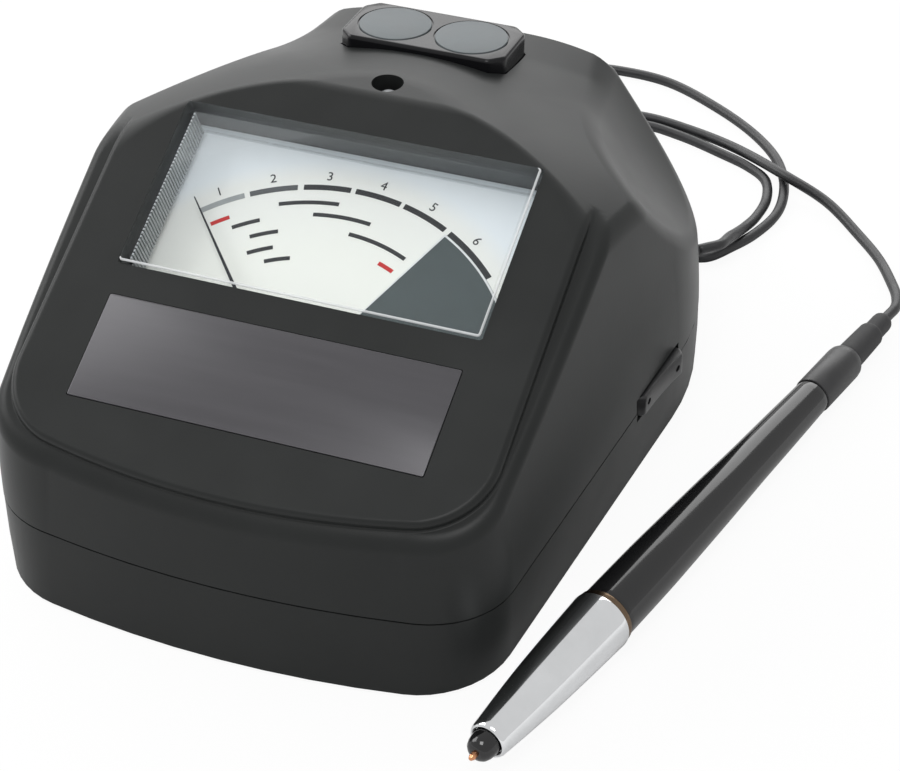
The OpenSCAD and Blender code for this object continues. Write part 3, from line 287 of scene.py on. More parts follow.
# %% One smooth curve through the points
def smooth_path(points, spacing):
    """A centripetal Catmull-Rom curve, sampled again at an even spacing."""
    points = np.array(points, float)
    points = np.vstack([2 * points[0] - points[1], points, 2 * points[-1] - points[-2]])
    fine = []
    for a, b, c, d in zip(points, points[1:], points[2:], points[3:]):
        ta = 0.0
        tb = ta + np.linalg.norm(b - a) ** 0.5
        tc = tb + np.linalg.norm(c - b) ** 0.5
        td = tc + np.linalg.norm(d - c) ** 0.5
        for t in np.linspace(tb, tc, 16, endpoint=False):
            ab = (tb - t) / (tb - ta) * a + (t - ta) / (tb - ta) * b
            bc = (tc - t) / (tc - tb) * b + (t - tb) / (tc - tb) * c
            cd = (td - t) / (td - tc) * c + (t - tc) / (td - tc) * d
            abc = (tc - t) / (tc - ta) * ab + (t - ta) / (tc - ta) * bc
            bcd = (td - t) / (td - tb) * bc + (t - tb) / (td - tb) * cd
            fine.append((tc - t) / (tc - tb) * abc + (t - tb) / (tc - tb) * bcd)
    fine = np.array(fine + [points[-2]])
    along = np.concatenate([[0], np.cumsum(np.linalg.norm(np.diff(fine, axis=0), axis=1))])
    even = np.linspace(0, along[-1], int(round(along[-1] / spacing)) + 1)
    return np.stack([np.interp(even, along, fine[:, i]) for i in range(3)], axis=1), along[-1]


def tube(name, path, radius, sides=10):
    """Rings carried along the path without twist, closed at both ends."""
    ways = np.gradient(path, axis=0)
    ways /= np.linalg.norm(ways, axis=1)[:, None]
    side = np.cross(ways[0], (0, 0, 1.0))
    points = []
    for at, way in zip(path, ways):
        side = side - way * (side @ way)
        side /= np.linalg.norm(side)
        up = np.cross(side, way)
        turns = [2 * math.pi * k / sides for k in range(sides)]
        points += [at + radius * (math.cos(t) * side + math.sin(t) * up) for t in turns]
    faces = [list(range(sides))[::-1], list(range(len(points) - sides, len(points)))]
    for i in range(len(path) - 1):
        for k in range(sides):
            on = (k + 1) % sides
            faces.append([i * sides + k, i * sides + on, (i + 1) * sides + on, (i + 1) * sides + k])
    return outwards(new_object(name, points, faces))


# %% Build the cord
cord_path, cord_length = smooth_path(case_route + coil_points() + pen_route, 1.0)
cord = tube("probe_cord", cord_path, CORD_R)
print("cord length:", round(cord_length), "mm")

# %% [markdown]
# ## The upper case
# The real case is one moulding: leaning walls, a domed top that is scooped out
# at both rear corners, a flat for the lamp, a roll at the back, and a sloping
# panel whose edge steps down to a ledge. Every edge runs out softly, with a
# radius that changes along it. Bevelling a cut solid would break where those
# edges meet, so the form is written as one distance-like function, below zero
# inside, in which each surface is joined to the next with its own radius.

# %% Frames of the panel and the holder
PANEL_AT, PANEL_SLOPE = np.array([0, -16.7, 56.5]), math.radians(22.9)
PANEL_UP = np.array([0, math.cos(PANEL_SLOPE), math.sin(PANEL_SLOPE)])
PANEL_OUT = np.array([0, -math.sin(PANEL_SLOPE), math.cos(PANEL_SLOPE)])
ON_PANEL = Matrix.Translation(Vector(PANEL_AT) * MM) @ Matrix.Rotation(PANEL_SLOPE, 4, "X")
ON_HOLDER = Matrix.Translation((0, 35.6 * MM, 64.4 * MM)) @ Matrix.Rotation(-math.radians(6.6), 4, "X")
LAMP_Y = -16.7 + (66.9 - 56.5) / math.tan(PANEL_SLOPE) + 4.4


# %% Joining surfaces softly
def rmax(a, b, r):
    """The part inside both, its outer edge rounded to radius r."""
    return np.minimum(-r, np.maximum(a, b)) + np.hypot(np.maximum(a + r, 0), np.maximum(b + r, 0))


def rmin(a, b, r):
    """The part inside either, its inner corner filled to radius r."""
    return np.maximum(r, np.minimum(a, b)) - np.hypot(np.maximum(r - a, 0), np.maximum(r - b, 0))


# %% The walls: a long front arc, two corner arcs and a half-round rear, all leaning
REAR_Y, REAR_R = 19.4, 56.6
FRONT_Y, FRONT_R = 124, 200
CORNER_X, CORNER_R = 31, 17.5
CORNER = np.array([31.0, FRONT_Y - math.sqrt((FRONT_R - CORNER_R) ** 2 - CORNER_X ** 2)])
FRONT_A = math.asin(CORNER_X / (FRONT_R - CORNER_R))
SIDE_A = math.atan2(REAR_Y - CORNER[1], -CORNER_X)
SIDE_A -= math.acos((CORNER_R - REAR_R) / math.hypot(CORNER_X, REAR_Y - CORNER[1]))


def wall_in(sine, z):
    """How far the wall has moved inwards at height z, where its normal has this sine."""
    side = (-0.083 + 0.0026 * z) * z
    return side + (np.where(sine < 0, 0.14, 0.28) * z - side) * sine ** 2


def walls(x, y, z):
    x = np.abs(x)
    rear, front = np.hypot(x, y - REAR_Y), np.hypot(x, y - FRONT_Y)
    corner = np.hypot(x - CORNER[0], y - CORNER[1])
    at_rear = rear - REAR_R + wall_in((y - REAR_Y) / np.maximum(rear, 1e-9), z)
    at_front = front - FRONT_R + wall_in((y - FRONT_Y) / np.maximum(front, 1e-9), z)
    at_corner = corner - CORNER_R + wall_in((y - CORNER[1]) / np.maximum(corner, 1e-9), z)
    reach = (x - CORNER[0]) * math.cos(SIDE_A) + (y - CORNER[1]) * math.sin(SIDE_A)
    at_side = reach - CORNER_R + wall_in(math.sin(SIDE_A), z)
    wall = np.where(np.arctan2(y - CORNER[1], x - CORNER[0]) < SIDE_A, at_corner, at_side)
    wall = np.where(np.arctan2(y - FRONT_Y, x) < FRONT_A - math.pi / 2, at_front, wall)
    return np.where(np.arctan2(y - REAR_Y, x) > SIDE_A, at_rear, wall)


# %% The top: dome, rear hump and roll, side scoops, lamp flat and panel
def panel_outline(u, v):
    """Distance outside the panel's outline, which runs on straight to the rear."""
    u = np.abs(u)
    corner_v = 109.8 - math.sqrt(153 ** 2 - 30.9 ** 2)
    in_corner = (np.arctan2(v - 109.8, u) > math.asin(30.9 / 153) - math.pi / 2) & (v < corner_v) & (u > 30.9)
    front = np.where(in_corner, np.hypot(u - 30.9, v - corner_v) - 15, np.hypot(u, v - 109.8) - 168)
    return np.where(v < corner_v, np.where(u > 30.9, np.maximum(front, u - 45.9), front), u - 45.9)


def case_form(p):
    x, y, z = p[..., 0], p[..., 1], p[..., 2]
    dome = np.sqrt(x * x + (y + 9) ** 2 + (z + 42.1) ** 2) - 111.5
    fall = math.radians(7.3)
    hump = np.hypot(x, (y - 39.5) * math.sin(fall) + (z - 61.8) * math.cos(fall) + 61.7) - 61.7
    top = rmin(dome, hump, 2.5)
    past, up = y - 39.5, z - 46.2
    lean = math.radians(55)
    roll = np.where(np.arctan2(past, up) < lean, np.hypot(past, up), past * math.sin(lean) + up * math.cos(lean))
    roll = np.where(past < 0, -12.0, roll - 15.6)
    form = np.maximum(rmax(walls(x, y, z), top, 2.2), roll)
    scoop = 112.3 - np.sqrt((np.abs(x) - 120.8) ** 2 + (y - 70.9) ** 2 + (z - 115) ** 2)
    form = rmax(form, scoop, 1.6)
    form = rmax(form, z - 66.9, 0.4)
    v = (y - PANEL_AT[1]) * PANEL_UP[1] + (z - PANEL_AT[2]) * PANEL_UP[2]
    panel = (y - PANEL_AT[1]) * PANEL_OUT[1] + (z - PANEL_AT[2]) * PANEL_OUT[2]
    ledge = rmin(panel + 2, panel_outline(x, v), 0.4)
    side = np.clip((np.abs(x) - 30) / 14, 0, 1)
    rear = np.clip((v - 4) / 16, 0, 1)
    front = np.clip((-v - 34) / 14, 0, 1)
    panel = rmax(panel, ledge, 1.0 + 0.4 * side)
    return rmax(form, panel, 0.7 + 1.5 * front + 1.1 * side * (1 - rear) * (1 - front) - 0.25 * rear)


probe = np.array([[0, -8, 22], [0, -8, 90], [0, 34.9, 40], [70, 0, 20]], float)
print("form at four points:", case_form(probe).round(2).tolist())

# %% [markdown]
# ## From the form to a skin
# Marching cubes or a voxel remesh would leave steps on the soft edges. Seen from
# a point inside, the case hides none of its own surface, so rays from that point
# meet it exactly once. Each ray is solved for its distance. Along every profile
# the rings are then moved close together where the surface turns.

# %% Cast the rays
EYE = np.array([0.0, -8.0, 22.0])


def hit(form, start, way, far=130.0):
    """Distance along each ray at which the form changes sign."""
    near, reach = np.zeros(way.shape[:-1]), np.full(way.shape[:-1], far)
    for _ in range(11):
        half = (near + reach) / 2
        inside = form(start + way * half[..., None]) < 0
        near, reach = np.where(inside, half, near), np.where(inside, reach, half)
    low, high = form(start + way * near[..., None]), form(start + way * reach[..., None])
    for _ in range(4):
        half = near + (reach - near) * np.clip(low / np.minimum(low - high, -1e-9), 0.02, 0.98)
        value = form(start + way * half[..., None])
        inside = value < 0
        near, reach = np.where(inside, half, near), np.where(inside, reach, half)
        low, high = np.where(inside, value, low), np.where(inside, high, value)
    return near + (reach - near) * np.clip(low / np.minimum(low - high, -1e-9), 0, 1)


def ray_skin(form, rim_z, around, rings):
    """Points [around][rings] from the rim up to the pole, on the surface of the form."""
    turn = np.linspace(0, 2 * math.pi, 1441)[:-1]
    flat = np.stack([np.cos(turn), np.sin(turn), 0 * turn], axis=-1)
    rim_eye = np.array([EYE[0], EYE[1], rim_z])
    rim = rim_eye + flat * hit(form, rim_eye, flat)[:, None]
    steps = np.linalg.norm(np.diff(rim, axis=0, append=rim[:1]), axis=1)
    along = np.concatenate([[0], np.cumsum(steps)])
    turn = np.interp(np.arange(around) * along[-1] / around, along, np.append(turn, 2 * math.pi))
    flat = np.stack([np.cos(turn), np.sin(turn), 0 * turn], axis=-1)
    rim = rim_eye + flat * hit(form, rim_eye, flat)[:, None]
    low = np.arctan2(rim_z - EYE[2], np.hypot(rim[:, 0] - EYE[0], rim[:, 1] - EYE[1]))

    def cast(rise):
        way = flat[:, None, :] * np.cos(rise)[..., None] + np.array([0, 0, 1.0]) * np.sin(rise)[..., None]
        return EYE + way * hit(form, EYE, way)[..., None]

    fine = low[:, None] + (math.pi / 2 - 0.012 - low[:, None]) * np.linspace(0, 1, 520)
    dense = cast(fine)
    step = np.diff(dense, axis=1)
    length = np.linalg.norm(step, axis=-1)
    way = step / length[..., None]
    bend = np.arccos(np.clip((way[:, 1:] * way[:, :-1]).sum(-1), -1, 1))
    weight = length / 1.4
    weight[:, 1:] += bend / 0.24
    weight[:, :-1] += bend / 0.24
    total = np.concatenate([np.zeros((around, 1)), np.cumsum(weight, axis=1)], axis=1)
    places = np.linspace(0, 1, rings)
    rise = np.stack([np.interp(places * total[i, -1], total[i], fine[i]) for i in range(around)])
    made = cast(rise)
    made[:, 0] = rim
    return made


outer = ray_skin(case_form, 16.3, 400, 150)
inner = ray_skin(lambda p: case_form(p) + 2.4, 16.0, 400, 30)
print("case skin:", outer.shape, "top at", outer[..., 2].max().round(2), "mm")

# %% [markdown]
# The outer and inner skins are stitched at the parting rim, where a small
# chamfer leaves the fine line that shows between the two halves of the case.
# The openings are cut afterwards, so their edges stay crisp, as a mould leaves
# them round an inserted part.

# %% Stitch the skins into a closed shell
def stitched(name, outer, inner, rim_z, chamfer):
    around = len(outer)
    middle = np.array([EYE[0], EYE[1], 0])
    away = outer[:, 0] - middle
    away[:, 2] = 0
    away /= np.linalg.norm(away, axis=1)[:, None]
    lip = outer[:, 0] - away * chamfer
    lip[:, 2] = rim_z
    rows = [inner[:, k] for k in range(inner.shape[1] - 1, -1, -1)] + [lip]
    rows += [outer[:, k] for k in range(outer.shape[1])]
    points = np.concatenate(rows)
    count = len(rows)
    faces = []
    for j in range(count - 1):
        for i in range(around):
            on = (i + 1) % around
            faces.append([j * around + i, j * around + on, (j + 1) * around + on, (j + 1) * around + i])
    ends = [rows[0].mean(axis=0), rows[-1].mean(axis=0)]
    for end, row in ((0, 0), (1, count - 1)):
        for i in range(around):
            on = (i + 1) % around
            faces.append([len(points) + end, row * around + i, row * around + on])
    return outwards(new_object(name, np.vstack([points, ends]), faces))


case = stitched("case_top", outer, inner, 16.0, 0.3)

# %% Pads inside the case, joined to it
def octagon(half_width, half_depth, corner):
    outline = [(-half_width + corner, -half_depth), (half_width - corner, -half_depth)]
    outline += [(half_width, -half_depth + corner), (half_width, half_depth - corner)]
    return outline + [(-x, -y) for x, y in outline]


def rod(name, radius, low, high, steps=64):
    turns = [2 * math.pi * k / steps for k in range(steps)]
    return prism(name, [(radius * math.cos(t), radius * math.sin(t)) for t in turns], low, high)


pad = place(prism("pad", octagon(16.75 + 1.8, 8.2 + 1.8, 2.6), -8.0, -5.8), ON_HOLDER)
lamp_tube = place(rod("lamp tube", 4.7, 57.4, 65.2), Matrix.Translation((0, LAMP_Y * MM, 0)))
combined(case, [pad, lamp_tube], "UNION")

# %% Openings cut through it
SWITCH_Z = 16.4
SWITCH_A = math.asin((4.4 - REAR_Y) / REAR_R)
SWITCH_WALL = REAR_R - float(wall_in(math.sin(SWITCH_A), SWITCH_Z))
ON_SWITCH = Matrix.Translation((0, REAR_Y * MM, SWITCH_Z * MM)) @ Matrix.Rotation(SWITCH_A, 4, "Z")


def block(name, low, high):
    return prism(name, [(low[0], low[1]), (high[0], low[1]), (high[0], high[1]), (low[0], high[1])], low[2], high[2])


def soft_plate(name, half_width, half_depth, radius, low, high):
    outline = [(-half_width, -half_depth), (half_width, -half_depth)]
    outline += [(half_width, half_depth), (-half_width, half_depth)]
    return prism(name, rounded(outline, radius, steps=5), low, high)


cutters = [
    place(soft_plate("window opening", 34.98, 18.03, 0.6, -16, 9), ON_PANEL),
    place(soft_plate("nameplate seat", 33.75, 10.65, 0.4, -0.4, 6),
          ON_PANEL @ Matrix.Translation((0, -34.9 * MM, 0))),
    place(prism("holder pocket", octagon(16.9, 8.35, 2.66), -6.2, 14), ON_HOLDER),
    place(rod("lamp hole", 3.0, 61.9, 80), Matrix.Translation((0, LAMP_Y * MM, 0))),
    place(rod("lamp bore", 2.55, 50, 80), Matrix.Translation((0, LAMP_Y * MM, 0))),
    place(block("switch slot", (SWITCH_WALL - 6, -9.6, -2.6), (SWITCH_WALL + 8, 9.6, 3.0)), ON_SWITCH),
]
combined(case, cutters, "DIFFERENCE")
print("case top:", len(case.data.polygons), "faces")

# %% Shade the skin by the form's own slope
def shaded_by_form(obj, form, degrees=30):
    """Smooth normals from the form where the mesh follows it, flat ones on the cut walls."""
    mesh = obj.data
    points = np.empty(len(mesh.vertices) * 3)
    mesh.vertices.foreach_get("co", points)
    points = points.reshape(-1, 3) / MM
    nudge = 0.03
    slope = np.stack([form(points + nudge * axis) - form(points - nudge * axis) for axis in np.eye(3)], axis=1)
    slope /= np.maximum(np.linalg.norm(slope, axis=1), 1e-9)[:, None]
    depth = form(points)
    corner = np.empty(len(mesh.loops), int)
    mesh.loops.foreach_get("vertex_index", corner)
    flat = np.empty(len(mesh.polygons) * 3)
    mesh.polygons.foreach_get("normal", flat)
    sizes = np.empty(len(mesh.polygons), int)
    mesh.polygons.foreach_get("loop_total", sizes)
    face = np.repeat(np.arange(len(sizes)), sizes)
    flat = flat.reshape(-1, 3)[face]
    on_skin = np.ones(len(sizes), bool)
    np.logical_and.at(on_skin, face, np.abs(depth[corner]) < 0.02)
    follows = on_skin[face] & ((flat * slope[corner]).sum(axis=1) > math.cos(math.radians(degrees)))
    normals = np.where(follows[:, None], slope[corner], flat)
    mesh.polygons.foreach_set("use_smooth", [True] * len(mesh.polygons))
    mesh.normals_split_custom_set([tuple(n) for n in normals])
    print(obj.name, "corners on the skin:", int(follows.sum()), "of", len(corner))
    return obj


shaded_by_form(case, case_form)

# %% [markdown]
# ## The base
# The lower half carries the door, feet and screw holes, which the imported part
# already has at full size. A copy of that mesh is enough: its triangles are
# merged and shaded smooth, except where the surface turns sharply.

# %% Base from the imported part
def smooth_copy(node, name, degrees=24):
    source = frame["nodes"][node]
    made = bpy.data.objects.new(name, source.data.copy())
    scene.collection.objects.link(made)
    made.data.materials.clear()
    work = bmesh.new()
    work.from_mesh(made.data)
    bmesh.ops.remove_doubles(work, verts=work.verts, dist=2e-6)
    bmesh.ops.recalc_face_normals(work, faces=work.faces)
    work.to_mesh(made.data)
    work.free()
    old_normals = made.data.attributes.get("custom_normal")
    if old_normals:
        made.data.attributes.remove(old_normals)
    return smooth_by_angle(made, degrees)


base = smooth_copy("base_cover", "case_base")
print("base:", len(base.data.polygons), "faces")

# %% [markdown]
# ## The meter window
# The cover is one clear moulding: a flat plate with a skirt that stands on the
# dial. Its bright line along two sides comes from the rounded edge, so the
# plate is a real solid with a bevel, and the edge faces of those two sides also
# get a paler finish, a painted highlight. The skirt is open where the needle
# swings past it.

# %% Window cover
window = soft_plate("window_cover", 34.65, 17.7, 0.6, -8.4, 0.8)
combined(window, [
    block("inside", (-33.45, -16.5, -9.4), (33.45, 16.5, -0.7)),
    block("needle pass", (-33.45, -18.7, -9.4), (33.45, -15.7, -4.2)),
], "DIFFERENCE")
softened(window, 0.6, 3)
# The edge faces along the right and front sides get the second, paler finish: a painted highlight for the light that
# their rounded edge catches.
for face in window.data.polygons:
    at, out = face.center / MM, face.normal
    rim = at.z > -0.75 and (at.x > 33.7 or at.y < -16.75) and out.z < 0.98
    face.material_index = 1 if rim else 0
place(window, ON_PANEL)
print("window cover:", len(window.data.polygons), "faces")

# %% [markdown]
# Fine ribs are moulded on the inside of the cover's left skirt. They get a pale grey
# finish instead of a clear one: a painted reflection of the dial in the skirt. A repeated
# shape is a job for Geometry Nodes: a line of points, a small bar on each point, and
# the number and pitch left as named inputs of the tree.

# %% A Geometry Nodes tree for a row of bars
def new_tree(name, inputs):
    tree = bpy.data.node_groups.new(name, "GeometryNodeTree")
    tree.interface.new_socket("Geometry", in_out="OUTPUT", socket_type="NodeSocketGeometry")
    for label, kind in inputs.items():
        tree.interface.new_socket(label, in_out="INPUT", socket_type=kind)
    return tree


def add(tree, kind, **settings):
    node = tree.nodes.new(kind)
    for key, value in settings.items():
        setattr(node, key, value)
    return node


def ended(tree, given, spread):
    """Ends a tree: real geometry instead of instances, with the finish that was given."""
    real, painted = add(tree, "GeometryNodeRealizeInstances"), add(tree, "GeometryNodeSetMaterial")
    tree.links.new(spread.outputs[0], real.inputs[0])
    tree.links.new(real.outputs[0], painted.inputs["Geometry"])
    tree.links.new(given.outputs["Finish"], painted.inputs["Material"])
    tree.links.new(painted.outputs[0], add(tree, "NodeGroupOutput").inputs[0])
    return tree


def bar_row_tree():
    tree = new_tree("bar row", {
        "Count": "NodeSocketInt", "Pitch": "NodeSocketVector", "Bar Size": "NodeSocketVector",
        "Finish": "NodeSocketMaterial",
    })
    given = add(tree, "NodeGroupInput")
    line, bar = add(tree, "GeometryNodeMeshLine"), add(tree, "GeometryNodeMeshCube")
    spread = add(tree, "GeometryNodeInstanceOnPoints")
    link = tree.links.new
    link(given.outputs["Count"], line.inputs["Count"])
    link(given.outputs["Pitch"], line.inputs["Offset"])
    link(given.outputs["Bar Size"], bar.inputs["Size"])
    link(line.outputs[0], spread.inputs["Points"])
    link(bar.outputs["Mesh"], spread.inputs["Instance"])
    return ended(tree, given, spread)


def from_tree(name, tree, values):
    """A piece made by the tree alone: inputs set by identifier, result kept as a plain mesh."""
    made = new_object(name, [(0, 0, 0)], [])
    step = made.modifiers.new("nodes", "NODES")
    step.node_group = tree
    for item in tree.interface.items_tree:
        if item.in_out == "INPUT":
            step[item.identifier] = values[item.name]
    return settle(made)


# The ribs' pale grey finish is a painted reflection of the dial.
rib_finish = bpy.data.materials.new("rib_painted_reflection")
ribs = from_tree("window_ribs", bar_row_tree(), {
    "Count": 42, "Pitch": (0, 0.78 * MM, 0), "Bar Size": (0.3 * MM, 0.42 * MM, 6.6 * MM), "Finish": rib_finish,
})
place(ribs, ON_PANEL @ Matrix.Translation((-33.25 * MM, -16.0 * MM, -4.3 * MM)))
print("ribs:", len(ribs.data.polygons), "faces")

# %% [markdown]
# ## The dial's print
# Arcs, bars, the dark end sector and small plain numbers are printed in several
# inks. A texture image could hold them, but thin raised shapes stay sharp at any
# size and keep their own ink. Angles are measured clockwise from the middle, and
# radii from the needle's axis.

# %% Ink shapes
PIVOT_DOWN, SCALE_R = 31.4, 42.1
ARCS = [(-41.2, -29.6, "pale"), (-28.2, -15.9, "grey"), (-14.3, -2, "black"), (-0.7, 11.8, "black"),
        (12.9, 25.9, "black"), (27.5, 44.4, "black")]
BARS = [(38.4, -40.3, -34.8, "red"), (36, -35, -26.5, "black"), (32.9, -30.4, -21.1, "black"),
        (29.6, -32.5, -23, "black"), (26.9, -26.8, -16.5, "black"), (38.8, -20.8, -3.9, "black"),
        (36.2, -10.6, 7.2, "black"), (33.1, 2.3, 23.5, "black"), (29.8, 17.1, 23.4, "red")]
INKS = ["black", "pale", "grey", "red", "slate", "white"]


def on_dial(radius, degrees):
    turn = math.radians(90 - degrees)
    return radius * math.cos(turn), radius * math.sin(turn) - PIVOT_DOWN


def band(low_r, high_r, start, end):
    steps = max(3, int((end - start) / 1.0))
    angles = [start + (end - start) * k / steps for k in range(steps + 1)]
    return [on_dial(high_r, a) for a in angles] + [on_dial(low_r, a) for a in reversed(angles)]


def inside_window(outline, half_width=33.2, half_depth=16.2):
    """Clips an outline to the part of the dial that shows."""
    for axis, limit, sign in ((0, half_width, 1), (0, half_width, -1), (1, half_depth, 1), (1, half_depth, -1)):
        kept = []
        for a, b in zip(outline, outline[1:] + outline[:1]):
            da, db = limit - sign * a[axis], limit - sign * b[axis]
            if da >= 0:
                kept.append(a)
            if da * db < 0:
                t = da / (da - db)
                kept.append((a[0] + (b[0] - a[0]) * t, a[1] + (b[1] - a[1]) * t))
        outline = kept
    return outline


def ink(shape, name, low=-8.4, high=-8.34):
    made = prism("ink " + name, shape, low, high)
    made.data.polygons.foreach_set("material_index", [INKS.index(name)] * len(made.data.polygons))
    return made


def joined(name, objects):
    """Puts the meshes of all objects into one new object, each with its own ink."""
    work = bmesh.new()
    for obj in objects:
        work.from_mesh(obj.data)
    mesh = bpy.data.meshes.new(name)
    work.to_mesh(mesh)
    work.free()
    remove(*objects)
    made = bpy.data.objects.new(name, mesh)
    scene.collection.objects.link(made)
    return made


shapes = [ink(inside_window(band(SCALE_R - 0.55, SCALE_R + 0.55, a, b)), name) for a, b, name in ARCS]
shapes += [ink(band(r - 0.4, r + 0.4, a, b), name) for r, a, b, name in BARS]
shapes.append(ink(inside_window(band(17, SCALE_R - 0.55, 27.3, 64), 32.5), "slate", -8.4, -8.37))
shapes.append(ink(inside_window(band(SCALE_R - 1.0, SCALE_R - 0.6, 27.3, 64), 32.5), "white", -8.4, -8.36))
shapes.append(ink(inside_window(band(17, SCALE_R - 0.6, 26.8, 27.3)), "white", -8.4, -8.35))

# %% Plain numbers, set beside the bars
def number(text, radius, degrees, size, name):
    """Outline of a number turned into a thin solid that reads across the dial."""
    curve = bpy.data.curves.new("number", "FONT")
    curve.body, curve.size, curve.extrude = text, size, 0.03
    curve.align_x = curve.align_y = "CENTER"
    curve.resolution_u = 3
    letter = bpy.data.objects.new("number", curve)
    scene.collection.objects.link(letter)
    bpy.context.view_layer.update()
    mesh = bpy.data.meshes.new_from_object(letter)
    made = bpy.data.objects.new("number " + text, mesh)
    scene.collection.objects.link(made)
    remove(letter)
    x, y = on_dial(radius, degrees)
    turn = Matrix.Rotation(math.radians(-degrees), 4, "Z")
    made.data.transform(Matrix.Scale(MM, 4) @ Matrix.Translation((x, y, -8.37)) @ turn)
    made.data.materials.clear()
    made.data.polygons.foreach_set("material_index", [INKS.index(name)] * len(made.data.polygons))
    return made


for k in range(6):
    angle = sum(ARCS[k][:2]) / 2 if k < 5 else 34
    shapes.append(number(str(k + 1), SCALE_R + 2.4, angle, 2.6, "black"))
dial_print = place(joined("dial_print", shapes), ON_PANEL)
print("dial print:", len(dial_print.data.polygons), "faces")

# %% [markdown]
# ## Nameplate, holder and discs
# The nameplate is a thin film plate set in its recess, left bare. The holder is
# a glossy block with cut corners that carries two reference discs, each in a
# shallow seat. Small bevels give all three the fine edge lights of real parts.

# %% Nameplate
nameplate = soft_plate("nameplate_film", 33.6, 10.5, 0.35, -0.4, 0.1)
softened(nameplate, 0.08, 2)
place(nameplate, ON_PANEL @ Matrix.Translation((0, -34.9 * MM, 0)))

# %% Disc holder and discs
holder = prism("holder_block", rounded(octagon(16.75, 8.2, 2.6), 1.8, steps=4), -6.2, 0)
softened(holder, 0.7, 4, 50)
seats = []
for side in (-1, 1):
    at = Matrix.Translation((side * 7.8 * MM, 0, 0))
    seats += [place(rod("seat", 7.05, -1.25, 5, 96), at), place(rod("seat rim", 7.35, -0.25, 5, 96), at)]
combined(holder, seats, "DIFFERENCE")
smooth_by_angle(holder, 32)
place(holder, ON_HOLDER)

discs = []
for side, name in ((-1, "left"), (1, "right")):
    profile = [(-1.25, 0), (-1.25, 6.85), (-1.12, 7.0), (0.02, 7.0), (0.11, 6.94), (0.15, 6.8), (0.15, 0)]
    disc = smooth_by_angle(turned("stone_disc_" + name, profile, 128), 35)
    discs.append(place(disc, ON_HOLDER @ Matrix.Translation((side * 7.8 * MM, 0, 0))))
print("holder:", len(holder.data.polygons), "faces")

# %% [markdown]
# ## The power rocker
# The button is a short rocker in a slot of the side wall. Its outline is drawn
# from above, then raised, softened, given two small round marks, and set on its
# pin in the switch's own frame, tilted as it rests. Its face stands a little
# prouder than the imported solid's, because the photograph shows a proud bar.

# %% Rocker button
outline = [(1.6, -1.6), (2.6, -8.7), (4.9, -8.7), (6.4, -7.4), (6.15, -3.4), (6.1, 0), (6.15, 3.4), (6.4, 7.4),
           (4.9, 8.7), (2.6, 8.7), (1.6, 1.6)]
rocker = prism("rocker_button", rounded(outline, [0, 0.4, 0.8, 1.2, 4, 4, 4, 1.2, 0.8, 0.4, 0], steps=4), -2.3, 2.3)
softened(rocker, 0.35, 3)
combined(rocker, [rod("boss", 2.3, -2.25, 2.25, 48), rod("pin", 0.8, -4.1, 4.1, 32)], "UNION")
across = Matrix.Rotation(math.radians(90), 4, "Y")
marks = [place(rod("finger mark", 0.7, 5.9, 8, 24), Matrix.Translation((0, y * MM, 0)) @ across) for y in (-5.6, 5.6)]
combined(rocker, marks, "DIFFERENCE")
smooth_by_angle(rocker, 32)
ON_ROCKER = ON_SWITCH @ Matrix.Translation(((SWITCH_WALL - 4.3) * MM, 0, 0)) @ Matrix.Rotation(math.radians(4), 4, "Z")
place(rocker, ON_ROCKER)
print("rocker:", len(rocker.data.polygons), "faces")

# %% [markdown]
# ## Strain relief
# A soft rubber boot guards the cord where it leaves the rear wall. Its core is
# turned, and the rings that let it flex come from a Geometry Nodes tree that
# puts one ring on each point of a line and lets the rings shrink along it.

# %% A tree for a row of shrinking rings
def ring_row_tree():
    tree = new_tree("ring row", {
        "Count": "NodeSocketInt", "Pitch": "NodeSocketVector", "First Radius": "NodeSocketFloat",
        "Last Scale": "NodeSocketFloat", "Thickness": "NodeSocketFloat", "Finish": "NodeSocketMaterial",
    })
    given = add(tree, "NodeGroupInput")
    line, index = add(tree, "GeometryNodeMeshLine"), add(tree, "GeometryNodeInputIndex")
    circle, section = add(tree, "GeometryNodeCurvePrimitiveCircle"), add(tree, "GeometryNodeCurvePrimitiveCircle")
    circle.inputs["Resolution"].default_value, section.inputs["Resolution"].default_value = 40, 10
    ring, spread = add(tree, "GeometryNodeCurveToMesh"), add(tree, "GeometryNodeInstanceOnPoints")
    scale = add(tree, "ShaderNodeMapRange")
    last = add(tree, "ShaderNodeMath", operation="SUBTRACT")
    last.inputs[1].default_value = 1
    link = tree.links.new
    link(given.outputs["Count"], line.inputs["Count"])
    link(given.outputs["Pitch"], line.inputs["Offset"])
    link(given.outputs["First Radius"], circle.inputs["Radius"])
    link(given.outputs["Thickness"], section.inputs["Radius"])
    link(circle.outputs[0], ring.inputs["Curve"])
    link(section.outputs[0], ring.inputs["Profile Curve"])
    link(index.outputs[0], scale.inputs["Value"])
    link(given.outputs["Count"], last.inputs[0])
    link(last.outputs[0], scale.inputs["From Max"])
    scale.inputs["To Min"].default_value = 1
    link(given.outputs["Last Scale"], scale.inputs["To Max"])
    link(line.outputs[0], spread.inputs["Points"])
    link(ring.outputs[0], spread.inputs["Instance"])
    link(scale.outputs[0], spread.inputs["Scale"])
    return ended(tree, given, spread)


